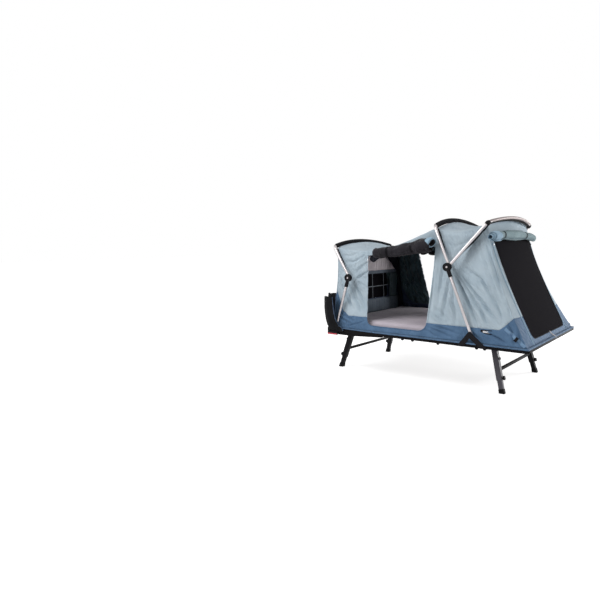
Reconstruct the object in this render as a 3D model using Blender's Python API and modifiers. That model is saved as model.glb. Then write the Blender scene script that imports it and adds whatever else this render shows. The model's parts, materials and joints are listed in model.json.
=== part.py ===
"""Hitch tent: a two-berth tent on a legged platform that is carried by a vehicle's hitch receiver.

Metres, +Z up. +X points from the vehicle to the foot end, -Y is the near side with its door in view.
The origin is on the ground, under the middle of the tent's overall box.
Run with: blender --background --python part.py
"""

import math

import bmesh
import bpy
from mathutils import Matrix, Vector

# Clearances
GAP = 0.0004
PIN_CLEARANCE = 0.0004
SLIDE_CLEARANCE = 0.001

# Platform: side rails, end rails, leg beams, board and mattress
PLATFORM_LENGTH = 1.980
PLATFORM_WIDTH = 1.540
PLATFORM_UNDERSIDE = 0.430
RAIL_WIDTH = 0.040
RAIL_HEIGHT = 0.036
RAIL_WALL = 0.003
BEAM_WIDTH = 0.056
BEAM_HEIGHT = 0.022
BOARD_THICKNESS = 0.012
MATTRESS_HEIGHT = 0.100
MATTRESS_MARGIN_SIDE = 0.070
MATTRESS_MARGIN_HITCH = 0.045
MATTRESS_MARGIN_FOOT = 0.090
MATTRESS_CROWN = 0.012
MATTRESS_EDGE_RADIUS = 0.030
MATTRESS_DRAW_IN = 0.012

# Hitch end: cradle, stinger, pin, lamps and travel cover
CRADLE_LENGTH = 0.635
CRADLE_HEIGHT = 0.030
CRADLE_TAPER_LENGTH = 0.330
CRADLE_TIP_HEIGHT = 0.010
CRADLE_BEAM_WIDTH = 0.060
STINGER_SIDE = 0.050
STINGER_WALL = 0.004
STINGER_REACH = 0.250
STINGER_OVERLAP = 0.065
HITCH_PIN_RADIUS = 0.008
HITCH_PIN_FROM_TIP = 0.065
HITCH_PIN_TAIL = 0.018
HITCH_PIN_HANDLE = 0.045
LAMP_LENGTH = 0.120
LAMP_HEIGHT = 0.030
LAMP_DEPTH = 0.022
LAMP_FROM_END = 0.015
COVER_TOP = 0.765
COVER_THICKNESS = 0.026
COVER_STAND_OFF = 0.060
COVER_INSET = 0.030

# Legs
LEG_HINGE_DROP = 0.030
LEG_SPLAY_OUT = math.radians(14.5)
LEG_SPLAY_SIDE = math.radians(8.1)
LEG_HINGE_INSET = 0.3307
FOOT_LEGS_FROM_END = 0.385
HITCH_LEGS_FROM_END = 0.094
LEG_HINGE_RADIUS = 0.016
LEG_HINGE_WIDTH = 0.034
LEG_PIN_RADIUS = 0.005
LEG_EAR_THICKNESS = 0.005
LEG_EAR_CLEARANCE = 0.0008
SLEEVE_SIDE = 0.048
SLEEVE_WALL = 0.003
SLEEVE_START = 0.022
SLEEVE_END = 0.303
INNER_LEG_SIDE = 0.040
INNER_LEG_WALL = 0.002
INNER_LEG_OVERLAP = 0.170
FOOT_CAP_SIDE = 0.046
FOOT_CAP_HEIGHT = 0.026
FOOT_CAP_SOLE = 0.012
CROSS_BAR_SIDE = 0.024
CROSS_BAR_FROM_HINGE = 0.212
LOCK_HEAD_RADIUS = 0.012
LOCK_HEAD_THICKNESS = 0.014
LOCK_HEAD_FROM_HINGE = 0.112
KNOB_FROM_SLEEVE_END = 0.018
KNOB_RADIUS = 0.0175
KNOB_THICKNESS = 0.018
KNOB_STAND_OFF = 0.005
KNOB_STEM_RADIUS = 0.005
KNOB_LOBES = 6
KNOB_LOBE_DEPTH = 0.0018

# Tent frame: round tubes, hubs with a sprung button, pivots on the rails
TUBE_RADIUS = 0.0135
HUB_RADIUS = 0.038
HUB_THICKNESS = 0.026
HUB_PIN_RADIUS = 0.008
HUB_SOCKET_LENGTH = 0.062
HUB_SOCKET_WALL = 0.0045
STRUT_IN_SOCKET = 0.034
LAYER_PITCH = 0.029
EYE_RADIUS = 0.020
EYE_THICKNESS = 0.025
PIN_CAP_RADIUS = 0.012
PIN_CAP_THICKNESS = 0.003
BUTTON_RADIUS = 0.009
BUTTON_PROUD = 0.003
BUTTON_DEPTH = 0.011
BUTTON_TRAVEL = 0.0025
PIVOT_PIN_RADIUS = 0.006
PIVOT_EYE_RADIUS = 0.018
PIVOT_EYE_THICKNESS = 0.022
BRACKET_THICKNESS = 0.008
STRUT_INSET = 0.015
HOOP_BOW = 0.006
HOOP_CORNER_REACH = 0.055

FOOT_PIVOT_FROM_END = 0.483
FOOT_PIVOT_RISE = 0.084
FOOT_STRUT_LENGTH = 0.611
FOOT_STRUT_ANGLE = math.radians(114.4)
FOOT_HUB_INSET = 0.080
RIDGE_ABOVE_RAILS = 1.080
MIDDLE_HOOP_ANGLE = math.radians(116.9)
MIDDLE_HOOP_CROWN = 0.080
MIDDLE_HOOP_INSET = 0.210
FOOT_HOOP_ANGLE = math.radians(50.7)
FOOT_HOOP_CROWN = 0.065
FOOT_HOOP_INSET = 0.178

HITCH_PIVOT_FROM_END = 0.112
HITCH_PIVOT_RISE = 0.052
HITCH_STRUT_LENGTH = 0.465
HITCH_STRUT_ANGLE = math.radians(78.5)
HITCH_HUB_INSET = 0.070
HITCH_HOOP_LENGTH = 0.400
HITCH_HOOP_ANGLE = math.radians(127.8)
HITCH_HOOP_CROWN = 0.078
HITCH_HOOP_INSET = 0.170

# Bracket outlines, beside the pivot along X
A_BRACKET_HITCHWARD = (0.111, 0.054)
A_BRACKET_FOOTWARD = (0.093, 0.158)
A_BRACKET_CROTCH = 0.042
CORNER_BRACKET_HITCHWARD = 0.070
CORNER_BRACKET_FOOTWARD = 0.085
BRACKET_APEX_HALF = 0.019
BRACKET_APEX_RISE = 0.015

# Fabric
FABRIC_THICKNESS = 0.003
FABRIC_HEM_LIFT = 0.002
FABRIC_INSET_SIDE = 0.020
FABRIC_INSET_HITCH = 0.015
FABRIC_INSET_FOOT = 0.020
FABRIC_BELOW_HOOP = 0.030
EAVE_INSIDE_HOOP = 0.030
WALL_SAG = 0.018
FOOT_WALL_SAG = 0.030
EAVE_INSET_AT_ENDS = 0.011
EAVE_BEFORE_END_HOOP = 0.010
EAVE_LEAN_REACH_HITCH = 0.350
EAVE_LEAN_REACH_FOOT = 0.600
SKIRT_HEIGHT = 0.126
SKIRT_HEIGHT_FOOT = 0.228
SKIRT_HEIGHT_HITCH = 0.364
SKIRT_FOOT_STEP = 0.190
SKIRT_FOOT_KNEE = 0.095
SKIRT_FOOT_KNEE_RISE = 0.051
SKIRT_HITCH_STEP = 0.210
SKIRT_HITCH_KNEE = 0.128
SKIRT_HITCH_KNEE_RISE = 0.046
SEAM_GAP = 0.0045
SAGS_HITCH_SPAN = [(0.26, 0.075), (0.49, 0.096), (0.74, 0.061)]
SAGS_FOOT_SPAN = [(0.50, 0.045)]
CROWN_RISES_HITCH_SPAN = [(0.0, 0.062), (0.26, 0.062), (0.49, 0.088), (0.74, 0.098), (1.0, 0.072)]
CROWN_RISES_FOOT_SPAN = [(0.50, 0.060), (1.0, 0.052)]
COLUMN_COUNT_ACROSS = 10
COLUMN_COUNT_TO_MIDDLE_HOOP = 6
COLUMN_COUNT_TO_FOOT_STEP = 5
WALL_ROW_COUNT = 5
SKIRT_ROW_COUNT = 2

DOOR_WIDTH = 0.620
DOOR_PAST_HOOP_CORNER = 0.017
DOOR_EDGE_SLANT = 0.090
DOOR_SILL = 0.048
DOOR_TOP_HITCH = 0.724
DOOR_TOP_FOOT = 0.814
DOOR_CORNER_RADIUS = 0.080
FOOT_WINDOW_INSET = 0.250
FOOT_WINDOW_SILL = 0.042
FOOT_WINDOW_BELOW_EAVE = 0.134
FOOT_WINDOW_RADIUS = 0.060
HITCH_WINDOW_INSET = 0.350
HITCH_WINDOW_SILL = 0.224
HITCH_WINDOW_BELOW_EAVE = 0.282
HITCH_WINDOW_RADIUS = 0.040
PANEL_CLEARANCE = 0.0015
PANEL_THICKNESS = 0.002

DOOR_ROLL_RADIUS = 0.052
DOOR_ROLL_CLEARANCE = 0.008
DOOR_ROLL_DROP_HITCH = 0.015
DOOR_ROLL_DROP_FOOT = 0.112
FOOT_ROLL_RADIUS = 0.042
FOOT_ROLL_INSET = 0.155
FOOT_ROLL_PAST_NEAR_SIDE = 0.055
FOOT_ROLL_BELOW_EAVE = 0.078
FOOT_ROLL_DROOP = 0.026
FOOT_ROLL_STAND_OFF = 0.052
ROLL_PINCH = 0.12
STRAP_WIDTH = 0.030
STRAP_THICKNESS = 0.002
STRAP_STAND_OFF = 0.007
STRAP_TOP_FROM_END = 0.149
STRAP_TOP_RISE = 0.148
STRAP_FOOT_FROM_END = 0.036
STRAP_FOOT_RISE = 0.016

# Places worked out from the sizes above
FOOT_END_X = (PLATFORM_LENGTH + STINGER_REACH) / 2
HITCH_END_X = FOOT_END_X - PLATFORM_LENGTH
STINGER_TIP_X = HITCH_END_X - STINGER_REACH
HALF_WIDTH = PLATFORM_WIDTH / 2
RAIL_TOP = PLATFORM_UNDERSIDE + RAIL_HEIGHT
BOARD_BOTTOM = PLATFORM_UNDERSIDE + BEAM_HEIGHT + GAP
BOARD_TOP = BOARD_BOTTOM + BOARD_THICKNESS
FABRIC_BOTTOM = RAIL_TOP + FABRIC_HEM_LIFT
LEG_HINGE_HEIGHT = PLATFORM_UNDERSIDE - LEG_HINGE_DROP
SIDES = {"near": -1, "far": 1}

FINISHES = {
    "black_steel": ((0.020, 0.020, 0.024), 0.42, 0.6),
    "black_plastic": ((0.022, 0.021, 0.025), 0.5, 0.0),
    "black_rubber": ((0.012, 0.012, 0.013), 0.8, 0.0),
    "grey_leg": ((0.060, 0.057, 0.070), 0.4, 0.7),
    "silver_tube": ((0.76, 0.74, 0.74), 0.3, 0.9),
    "zinc_steel": ((0.55, 0.55, 0.57), 0.35, 1.0),
    "board": ((0.07, 0.06, 0.055), 0.7, 0.0),
    "light_fabric": ((0.40, 0.50, 0.57), 0.85, 0.0),
    "dark_fabric": ((0.085, 0.15, 0.23), 0.8, 0.0),
    "black_mesh": ((0.018, 0.016, 0.020), 0.9, 0.0),
    "dark_roll": ((0.024, 0.020, 0.027), 0.85, 0.0),
    "mattress_cloth": ((0.60, 0.57, 0.62), 0.9, 0.0),
    "webbing": ((0.28, 0.43, 0.62), 0.75, 0.0),
    "cover_cloth": ((0.012, 0.012, 0.014), 0.8, 0.0),
}

collections = {}
pivot_places = {}


def start_scene():
    """Empties the scene and makes the collections for the parts and for their cutters."""
    for old in list(bpy.data.objects):
        bpy.data.objects.remove(old, do_unlink=True)
    for name in ("hitch_tent", "cutters"):
        collection = bpy.data.collections.new(name)
        bpy.context.scene.collection.children.link(collection)
        collections[name] = collection
    collections["cutters"].hide_render = True


def material(name):
    """The Principled material of one finish, made once."""
    found = bpy.data.materials.get(name)
    if found:
        return found
    colour, roughness, metallic = FINISHES[name]
    made = bpy.data.materials.new(name)
    made.use_nodes = True
    shader = made.node_tree.nodes["Principled BSDF"]
    shader.inputs["Base Color"].default_value = (*colour, 1.0)
    shader.inputs["Roughness"].default_value = roughness
    shader.inputs["Metallic"].default_value = metallic
    made.diffuse_color = (*colour, 1.0)
    return made


def pivot(name, place, parent=None):
    """An empty on a joint's axis, which carries what turns or slides there."""
    empty = bpy.data.objects.new(name, None)
    empty.empty_display_size = 0.05
    collections["hitch_tent"].objects.link(empty)
    pivot_places[name] = Vector(place)
    empty.location = place
    if parent:
        empty.parent = parent
        empty.location = Vector(place) - pivot_places[parent.name]
    return empty


def add_piece(name, bm, finish, parent=None, smooth=False):
    """A named part from a mesh in world places; its origin is its pivot, or the world's."""
    if parent:
        bmesh.ops.translate(bm, vec=-pivot_places[parent.name], verts=bm.verts)
    mesh = bpy.data.meshes.new(name)
    bm.to_mesh(mesh)
    bm.free()
    obj = bpy.data.objects.new(name, mesh)
    obj.data.materials.append(material(finish))
    collections["hitch_tent"].objects.link(obj)
    obj.parent = parent
    if smooth:
        mesh.shade_smooth()
        mesh.set_sharp_from_angle(angle=math.radians(35))
    return obj


def add_cutter(name, bm):
    """A solid that only shapes others, kept as a wire in the cutters' collection."""
    mesh = bpy.data.meshes.new(name)
    bm.to_mesh(mesh)
    bm.free()
    obj = bpy.data.objects.new(name, mesh)
    obj.hide_render = True
    obj.display_type = "WIRE"
    collections["cutters"].objects.link(obj)
    return obj


def combine(target, bm, operation):
    """Joins, cuts or intersects a part with one more solid in world places."""
    modifier = target.modifiers.new(operation.lower(), "BOOLEAN")
    modifier.operation = operation
    modifier.solver = "EXACT"
    modifier.object = add_cutter(target.name + "_" + operation.lower(), bm)


def join(target, *solids):
    for bm in solids:
        combine(target, bm, "UNION")


def cut(target, *solids):
    for bm in solids:
        combine(target, bm, "DIFFERENCE")


def box(low, high, frame=None):
    """A box between two corners, in a frame's own axes if one is given."""
    low, high = Vector(low), Vector(high)
    bm = bmesh.new()
    bmesh.ops.create_cube(bm, size=1.0)
    shape = Matrix.Translation((low + high) / 2) @ Matrix.Diagonal((*(high - low), 1.0))
    bmesh.ops.transform(bm, matrix=(frame or Matrix()) @ shape, verts=bm.verts)
    return bm


def rod(start, end, radius, sides=20, frame=None):
    """A round rod between two points."""
    start, end = Vector(start), Vector(end)
    if frame:
        start, end = frame @ start, frame @ end
    bm = bmesh.new()
    bmesh.ops.create_cone(
        bm, cap_ends=True, segments=sides, radius1=radius, radius2=radius, depth=(end - start).length
    )
    turn = (end - start).to_track_quat("Z", "Y").to_matrix().to_4x4()
    bmesh.ops.transform(bm, matrix=Matrix.Translation((start + end) / 2) @ turn, verts=bm.verts)
    return bm


def curve_solid(curve):
    """The closed mesh of a curve that takes no further part in the scene."""
    guide = bpy.data.objects.new("guide", curve)
    bpy.context.scene.collection.objects.link(guide)
    seen = guide.evaluated_get(bpy.context.evaluated_depsgraph_get())
    mesh = bpy.data.meshes.new_from_object(seen)
    bm = bmesh.new()
    bm.from_mesh(mesh)
    bmesh.ops.remove_doubles(bm, verts=bm.verts, dist=0.00001)
    bmesh.ops.recalc_face_normals(bm, faces=bm.faces)
    bpy.data.objects.remove(guide)
    bpy.data.meshes.remove(mesh)
    return bm


def tube(points, radius, resolution=2, radii=None):
    """A round tube along points, with closed ends; radii scale it point by point."""
    curve = bpy.data.curves.new("tube", "CURVE")
    curve.dimensions = "3D"
    curve.bevel_depth = radius
    curve.bevel_resolution = resolution
    curve.use_fill_caps = True
    spline = curve.splines.new("POLY")
    spline.points.add(len(points) - 1)
    for index, place in enumerate(points):
        spline.points[index].co = (*place, 1.0)
        spline.points[index].radius = radii[index] if radii else 1.0
    return curve_solid(curve)


def plate(outline, middle_y, thickness):
    """A flat plate from an outline in X and Z, standing square to Y."""
    curve = bpy.data.curves.new("plate", "CURVE")
    curve.dimensions = "2D"
    curve.fill_mode = "BOTH"
    curve.extrude = thickness / 2
    spline = curve.splines.new("POLY")
    spline.points.add(len(outline) - 1)
    spline.use_cyclic_u = True
    for index, (x, z) in enumerate(outline):
        spline.points[index].co = (x, z, 0.0, 1.0)
    bm = curve_solid(curve)
    stand = Matrix.Translation((0, middle_y, 0)) @ Matrix.Rotation(math.radians(90), 4, "X")
    bmesh.ops.transform(bm, matrix=stand, verts=bm.verts)
    return bm


def arc_points(centre, radius, start, end, steps):
    """Points on an arc in two dimensions; the angles are in degrees."""
    points = []
    for index in range(steps + 1):
        angle = math.radians(start + (end - start) * index / steps)
        points.append((centre[0] + radius * math.cos(angle), centre[1] + radius * math.sin(angle)))
    return points


def interpolate(table, x):
    """Straight-line reading of a table of (x, value) pairs in rising x."""
    for (x0, v0), (x1, v1) in zip(table, table[1:]):
        if x <= x1:
            return v0 + (v1 - v0) * max(0.0, (x - x0) / (x1 - x0))
    return table[-1][1]


def polar(centre, length, angle):
    """The point at a length and angle from a point in X and Z."""
    return (centre[0] + length * math.cos(angle), centre[1] + length * math.sin(angle))


def hoop_up_to_ridge(hub, angle, crown, inset):
    """A hoop whose crown reaches the ridge: the middle and foot hoops are equally high."""
    length = (RAIL_TOP + RIDGE_ABOVE_RAILS - hub[1]) / math.sin(angle) - crown
    return {"length": length, "angle": angle, "crown": crown, "corner_y": HALF_WIDTH - inset}


def hoop_corner(hub, hoop):
    return polar(hub, hoop["length"], hoop["angle"])


# Joint places of the tent frame, in X and Z, and the hoops that turn there
FOOT_PIVOT = (FOOT_END_X - FOOT_PIVOT_FROM_END, RAIL_TOP + FOOT_PIVOT_RISE)
FOOT_HUB = polar(FOOT_PIVOT, FOOT_STRUT_LENGTH, FOOT_STRUT_ANGLE)
FOOT_HUB_Y = HALF_WIDTH - FOOT_HUB_INSET
HITCH_PIVOT = (HITCH_END_X + HITCH_PIVOT_FROM_END, RAIL_TOP + HITCH_PIVOT_RISE)
HITCH_HUB = polar(HITCH_PIVOT, HITCH_STRUT_LENGTH, HITCH_STRUT_ANGLE)
HITCH_HUB_Y = HALF_WIDTH - HITCH_HUB_INSET
STRUT_FOOT_Y = HALF_WIDTH - STRUT_INSET
MIDDLE_HOOP = hoop_up_to_ridge(FOOT_HUB, MIDDLE_HOOP_ANGLE, MIDDLE_HOOP_CROWN, MIDDLE_HOOP_INSET)
FOOT_HOOP = hoop_up_to_ridge(FOOT_HUB, FOOT_HOOP_ANGLE, FOOT_HOOP_CROWN, FOOT_HOOP_INSET)
HITCH_HOOP = {
    "length": HITCH_HOOP_LENGTH,
    "angle": HITCH_HOOP_ANGLE,
    "crown": HITCH_HOOP_CROWN,
    "corner_y": HALF_WIDTH - HITCH_HOOP_INSET,
}


def build_platform():
    """Hollow rails round the edge, two beams that carry the legs, the board and the mattress."""
    for side, sign in SIDES.items():
        outer, inner = sorted((sign * HALF_WIDTH, sign * (HALF_WIDTH - RAIL_WIDTH)))
        rail = add_piece(
            side + "_side_rail",
            box((HITCH_END_X, outer, PLATFORM_UNDERSIDE), (FOOT_END_X, inner, RAIL_TOP)),
            "black_steel",
        )
        cut(rail, box(
            (HITCH_END_X - RAIL_WALL, outer + RAIL_WALL, PLATFORM_UNDERSIDE + RAIL_WALL),
            (FOOT_END_X + RAIL_WALL, inner - RAIL_WALL, RAIL_TOP - RAIL_WALL),
        ))
    end_half = HALF_WIDTH - RAIL_WIDTH - GAP
    for name, x0, x1 in (
        ("foot_end_rail", FOOT_END_X - RAIL_WIDTH, FOOT_END_X),
        ("hitch_end_rail", HITCH_END_X, HITCH_END_X + RAIL_WIDTH),
    ):
        rail = add_piece(
            name, box((x0, -end_half, PLATFORM_UNDERSIDE), (x1, end_half, RAIL_TOP)), "black_steel"
        )
        cut(rail, box(
            (x0 + RAIL_WALL, -end_half - RAIL_WALL, PLATFORM_UNDERSIDE + RAIL_WALL),
            (x1 - RAIL_WALL, end_half + RAIL_WALL, RAIL_TOP - RAIL_WALL),
        ))
    board_hitch = HITCH_END_X + RAIL_WIDTH + GAP
    board_foot = FOOT_END_X - RAIL_WIDTH - GAP
    add_piece(
        "bed_board",
        box((board_hitch, -end_half, BOARD_BOTTOM), (board_foot, end_half, BOARD_TOP)),
        "board",
    )
    build_mattress()


def build_mattress():
    """A foam slab with a crowned top, rounded edges and sides that draw in between the corners."""
    low = Vector((HITCH_END_X + MATTRESS_MARGIN_HITCH, -HALF_WIDTH + MATTRESS_MARGIN_SIDE, BOARD_TOP + GAP))
    high = Vector((FOOT_END_X - MATTRESS_MARGIN_FOOT, HALF_WIDTH - MATTRESS_MARGIN_SIDE, 0.0))
    high.z = low.z + MATTRESS_HEIGHT
    bm = box(low, high)
    for axis, cuts in ((0, 9), (1, 7), (2, 3)):
        along = [
            edge for edge in bm.edges
            if abs((edge.verts[0].co - edge.verts[1].co).normalized()[axis]) > 0.99
        ]
        bmesh.ops.subdivide_edges(bm, edges=along, cuts=cuts, use_grid_fill=True)
    middle, half = (low + high) / 2, (high - low) / 2
    for vert in bm.verts:
        u, v, w = ((vert.co[i] - middle[i]) / half[i] for i in range(3))
        edge = MATTRESS_EDGE_RADIUS * (1 - math.sqrt(max(0.0, 1 - w * w)))
        vert.co.x = middle.x + u * (half.x - edge - MATTRESS_DRAW_IN * (1 - v * v) * abs(u))
        vert.co.y = middle.y + v * (half.y - edge - MATTRESS_DRAW_IN * (1 - u * u) * abs(v))
        if w > 0:
            vert.co.z -= MATTRESS_CROWN * w * (1 - (1 - u * u) * (1 - v * v))
    add_piece("mattress", bm, "mattress_cloth", smooth=True)


def build_hitch_end():
    """The cradle under the platform, the stinger with its pin, the marker lamps and the cover."""
    cradle_top = PLATFORM_UNDERSIDE - GAP
    cradle_bottom = cradle_top - CRADLE_HEIGHT
    cradle_end_x = HITCH_END_X + CRADLE_LENGTH
    side_outline = [
        (HITCH_END_X, cradle_top),
        (HITCH_END_X, cradle_bottom),
        (cradle_end_x - CRADLE_TAPER_LENGTH, cradle_bottom),
        (cradle_end_x, cradle_top - CRADLE_TIP_HEIGHT),
        (cradle_end_x, cradle_top),
    ]
    cradle = add_piece("hitch_cradle", plate(side_outline, 0, 2 * HALF_WIDTH), "black_steel")
    cut(cradle, box(
        (HITCH_END_X + CRADLE_BEAM_WIDTH, -HALF_WIDTH + RAIL_WIDTH, cradle_bottom - RAIL_WALL),
        (cradle_end_x + RAIL_WALL, HALF_WIDTH - RAIL_WIDTH, cradle_top + RAIL_WALL),
    ))

    stinger_top = cradle_bottom - GAP
    half_side = STINGER_SIDE / 2
    stinger = add_piece(
        "stinger",
        box(
            (STINGER_TIP_X, -half_side, stinger_top - STINGER_SIDE),
            (HITCH_END_X + STINGER_OVERLAP, half_side, stinger_top),
        ),
        "black_steel",
    )
    cut(stinger, box(
        (STINGER_TIP_X - STINGER_WALL, -half_side + STINGER_WALL, stinger_top - STINGER_SIDE + STINGER_WALL),
        (HITCH_END_X + STINGER_OVERLAP + STINGER_WALL, half_side - STINGER_WALL, stinger_top - STINGER_WALL),
    ))
    pin_x = STINGER_TIP_X + HITCH_PIN_FROM_TIP
    pin_z = stinger_top - half_side
    cut(stinger, rod(
        (pin_x, -STINGER_SIDE, pin_z), (pin_x, STINGER_SIDE, pin_z), HITCH_PIN_RADIUS + PIN_CLEARANCE
    ))
    pin_pivot = pivot("hitch_pin_axis", (pin_x, 0, pin_z))
    bend = half_side + HITCH_PIN_TAIL
    turn = arc_points((-bend, pin_z - HITCH_PIN_TAIL), HITCH_PIN_TAIL, 90, 180, 5)
    route = [(pin_x, half_side + HITCH_PIN_TAIL, pin_z)]
    route += [(pin_x, y, z) for y, z in turn]
    route.append((pin_x, -bend - HITCH_PIN_TAIL, pin_z - HITCH_PIN_TAIL - HITCH_PIN_HANDLE))
    add_piece("hitch_pin", tube(route, HITCH_PIN_RADIUS), "zinc_steel", pin_pivot, smooth=True)

    for side, sign in SIDES.items():
        inner, outer = sorted((sign * (HALF_WIDTH + GAP), sign * (HALF_WIDTH + LAMP_DEPTH)))
        lamp_x = HITCH_END_X + LAMP_FROM_END
        lamp = add_piece(
            side + "_marker_lamp",
            box((lamp_x, inner, cradle_bottom), (lamp_x + LAMP_LENGTH, outer, cradle_bottom + LAMP_HEIGHT)),
            "black_plastic",
        )
        bevel = lamp.modifiers.new("rounded edges", "BEVEL")
        bevel.width = 0.004
        bevel.segments = 2

    outer_x = HITCH_END_X - COVER_STAND_OFF
    hook_x = HITCH_END_X - GAP - 0.001
    half = COVER_THICKNESS / 2
    bend_z = RAIL_TOP + COVER_STAND_OFF / 2
    hook_radius = COVER_STAND_OFF - half
    curl_out = arc_points((hook_x, bend_z), hook_radius + COVER_THICKNESS, 180, 270, 6)
    curl_in = arc_points((hook_x, bend_z), hook_radius, 270, 180, 6)
    crest = arc_points((outer_x - half, COVER_TOP - half), half, 0, 180, 4)
    outline = curl_out + curl_in + crest
    cover = plate(outline, 0.0, 2 * (HALF_WIDTH - COVER_INSET))
    add_piece("travel_cover", cover, "cover_cloth", smooth=True)


def leg_frame(sign_x, hinge):
    """Axes of a leg at its hinge: X outward along the tent, Z up the leg."""
    sign_y = 1 if hinge.y > 0 else -1
    up = -Vector((sign_x * math.tan(LEG_SPLAY_OUT), sign_y * math.tan(LEG_SPLAY_SIDE), -1.0)).normalized()
    across = up.cross(Vector((sign_x, 0, 0))).normalized()
    out = across.cross(up)
    frame = Matrix((out, across, up)).transposed().to_4x4()
    frame.translation = hinge
    return frame


def square_box(side, top, bottom, frame):
    """A square bar round a leg's axis, between two distances below its hinge."""
    return box((-side / 2, -side / 2, -bottom), (side / 2, side / 2, -top), frame)


def lobed_knob(frame):
    """A hand knob with lobes round its rim, and its clamping stem."""
    face = SLEEVE_SIDE / 2
    start, end = face + KNOB_STAND_OFF, face + KNOB_STAND_OFF + KNOB_THICKNESS
    height = -(SLEEVE_END - KNOB_FROM_SLEEVE_END)
    bm = rod((start, 0, height), (end, 0, height), KNOB_RADIUS, 4 * KNOB_LOBES, frame)
    for vert in bm.verts:
        local = frame.inverted() @ vert.co
        angle = math.atan2(local.y, local.z - height)
        scale = 1 + KNOB_LOBE_DEPTH / KNOB_RADIUS * math.cos(KNOB_LOBES * angle)
        vert.co = frame @ Vector((local.x, local.y * scale, height + (local.z - height) * scale))
    stem = rod(
        (INNER_LEG_SIDE / 2 + GAP, 0, height), (start + GAP, 0, height), KNOB_STEM_RADIUS, 16, frame
    )
    return bm, stem


def build_leg(name, sign_x, hinge, leg_pivot):
    """One telescoping leg: hinged sleeve, inner leg, rubber foot and clamp knob."""
    frame = leg_frame(sign_x, hinge)
    half_hinge = Vector((0, LEG_HINGE_WIDTH / 2, 0))
    sleeve = add_piece(
        name + "_leg_sleeve",
        square_box(SLEEVE_SIDE, SLEEVE_START, SLEEVE_END, frame),
        "grey_leg",
        leg_pivot,
    )
    neck = LEG_HINGE_RADIUS * 0.8
    face = SLEEVE_SIDE / 2
    lock_height = -LOCK_HEAD_FROM_HINGE
    join(
        sleeve,
        box((-neck, -neck, -SLEEVE_START - SLEEVE_WALL), (neck, neck, 0), frame),
        rod(hinge - half_hinge, hinge + half_hinge, LEG_HINGE_RADIUS, 24),
        rod(
            (face - SLEEVE_WALL / 2, 0, lock_height), (face + LOCK_HEAD_THICKNESS, 0, lock_height),
            LOCK_HEAD_RADIUS, 20, frame,
        ),
    )
    cavity = SLEEVE_SIDE - 2 * SLEEVE_WALL
    knob_height = -(SLEEVE_END - KNOB_FROM_SLEEVE_END)
    cut(
        sleeve,
        square_box(cavity, SLEEVE_START + 2 * SLEEVE_WALL, SLEEVE_END + SLEEVE_WALL, frame),
        rod(hinge - 2 * half_hinge, hinge + 2 * half_hinge, LEG_PIN_RADIUS + PIN_CLEARANCE, 16),
        rod((0, 0, knob_height), (SLEEVE_SIDE, 0, knob_height), KNOB_STEM_RADIUS + PIN_CLEARANCE, 16, frame),
    )

    ground = hinge.z / frame.to_3x3().col[2].z
    inner_pivot = pivot(name + "_leg_slide", frame @ Vector((0, 0, -SLEEVE_END)), leg_pivot)
    leg_end = ground - FOOT_CAP_SOLE
    inner = add_piece(
        name + "_inner_leg",
        square_box(INNER_LEG_SIDE, SLEEVE_END - INNER_LEG_OVERLAP, leg_end - GAP, frame),
        "grey_leg",
        inner_pivot,
    )
    bore = INNER_LEG_SIDE - 2 * INNER_LEG_WALL
    cut(inner, square_box(bore, SLEEVE_END - 2 * INNER_LEG_OVERLAP, ground, frame))
    cap = add_piece(
        name + "_foot_cap",
        square_box(FOOT_CAP_SIDE, leg_end - FOOT_CAP_HEIGHT, ground + FOOT_CAP_SIDE, frame),
        "black_rubber",
        inner_pivot,
    )
    foot = frame @ Vector((0, 0, -ground))
    reach = 2 * FOOT_CAP_SIDE
    cut(
        cap,
        square_box(INNER_LEG_SIDE + 2 * GAP, SLEEVE_END, leg_end, frame),
        box((foot.x - reach, foot.y - reach, -reach), (foot.x + reach, foot.y + reach, 0)),
    )

    knob_pivot = pivot(name + "_knob_axis", frame @ Vector((SLEEVE_SIDE / 2, 0, knob_height)), leg_pivot)
    head, stem = lobed_knob(frame)
    knob = add_piece(name + "_clamp_knob", head, "black_plastic", knob_pivot, smooth=True)
    join(knob, stem)
    return frame


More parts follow.
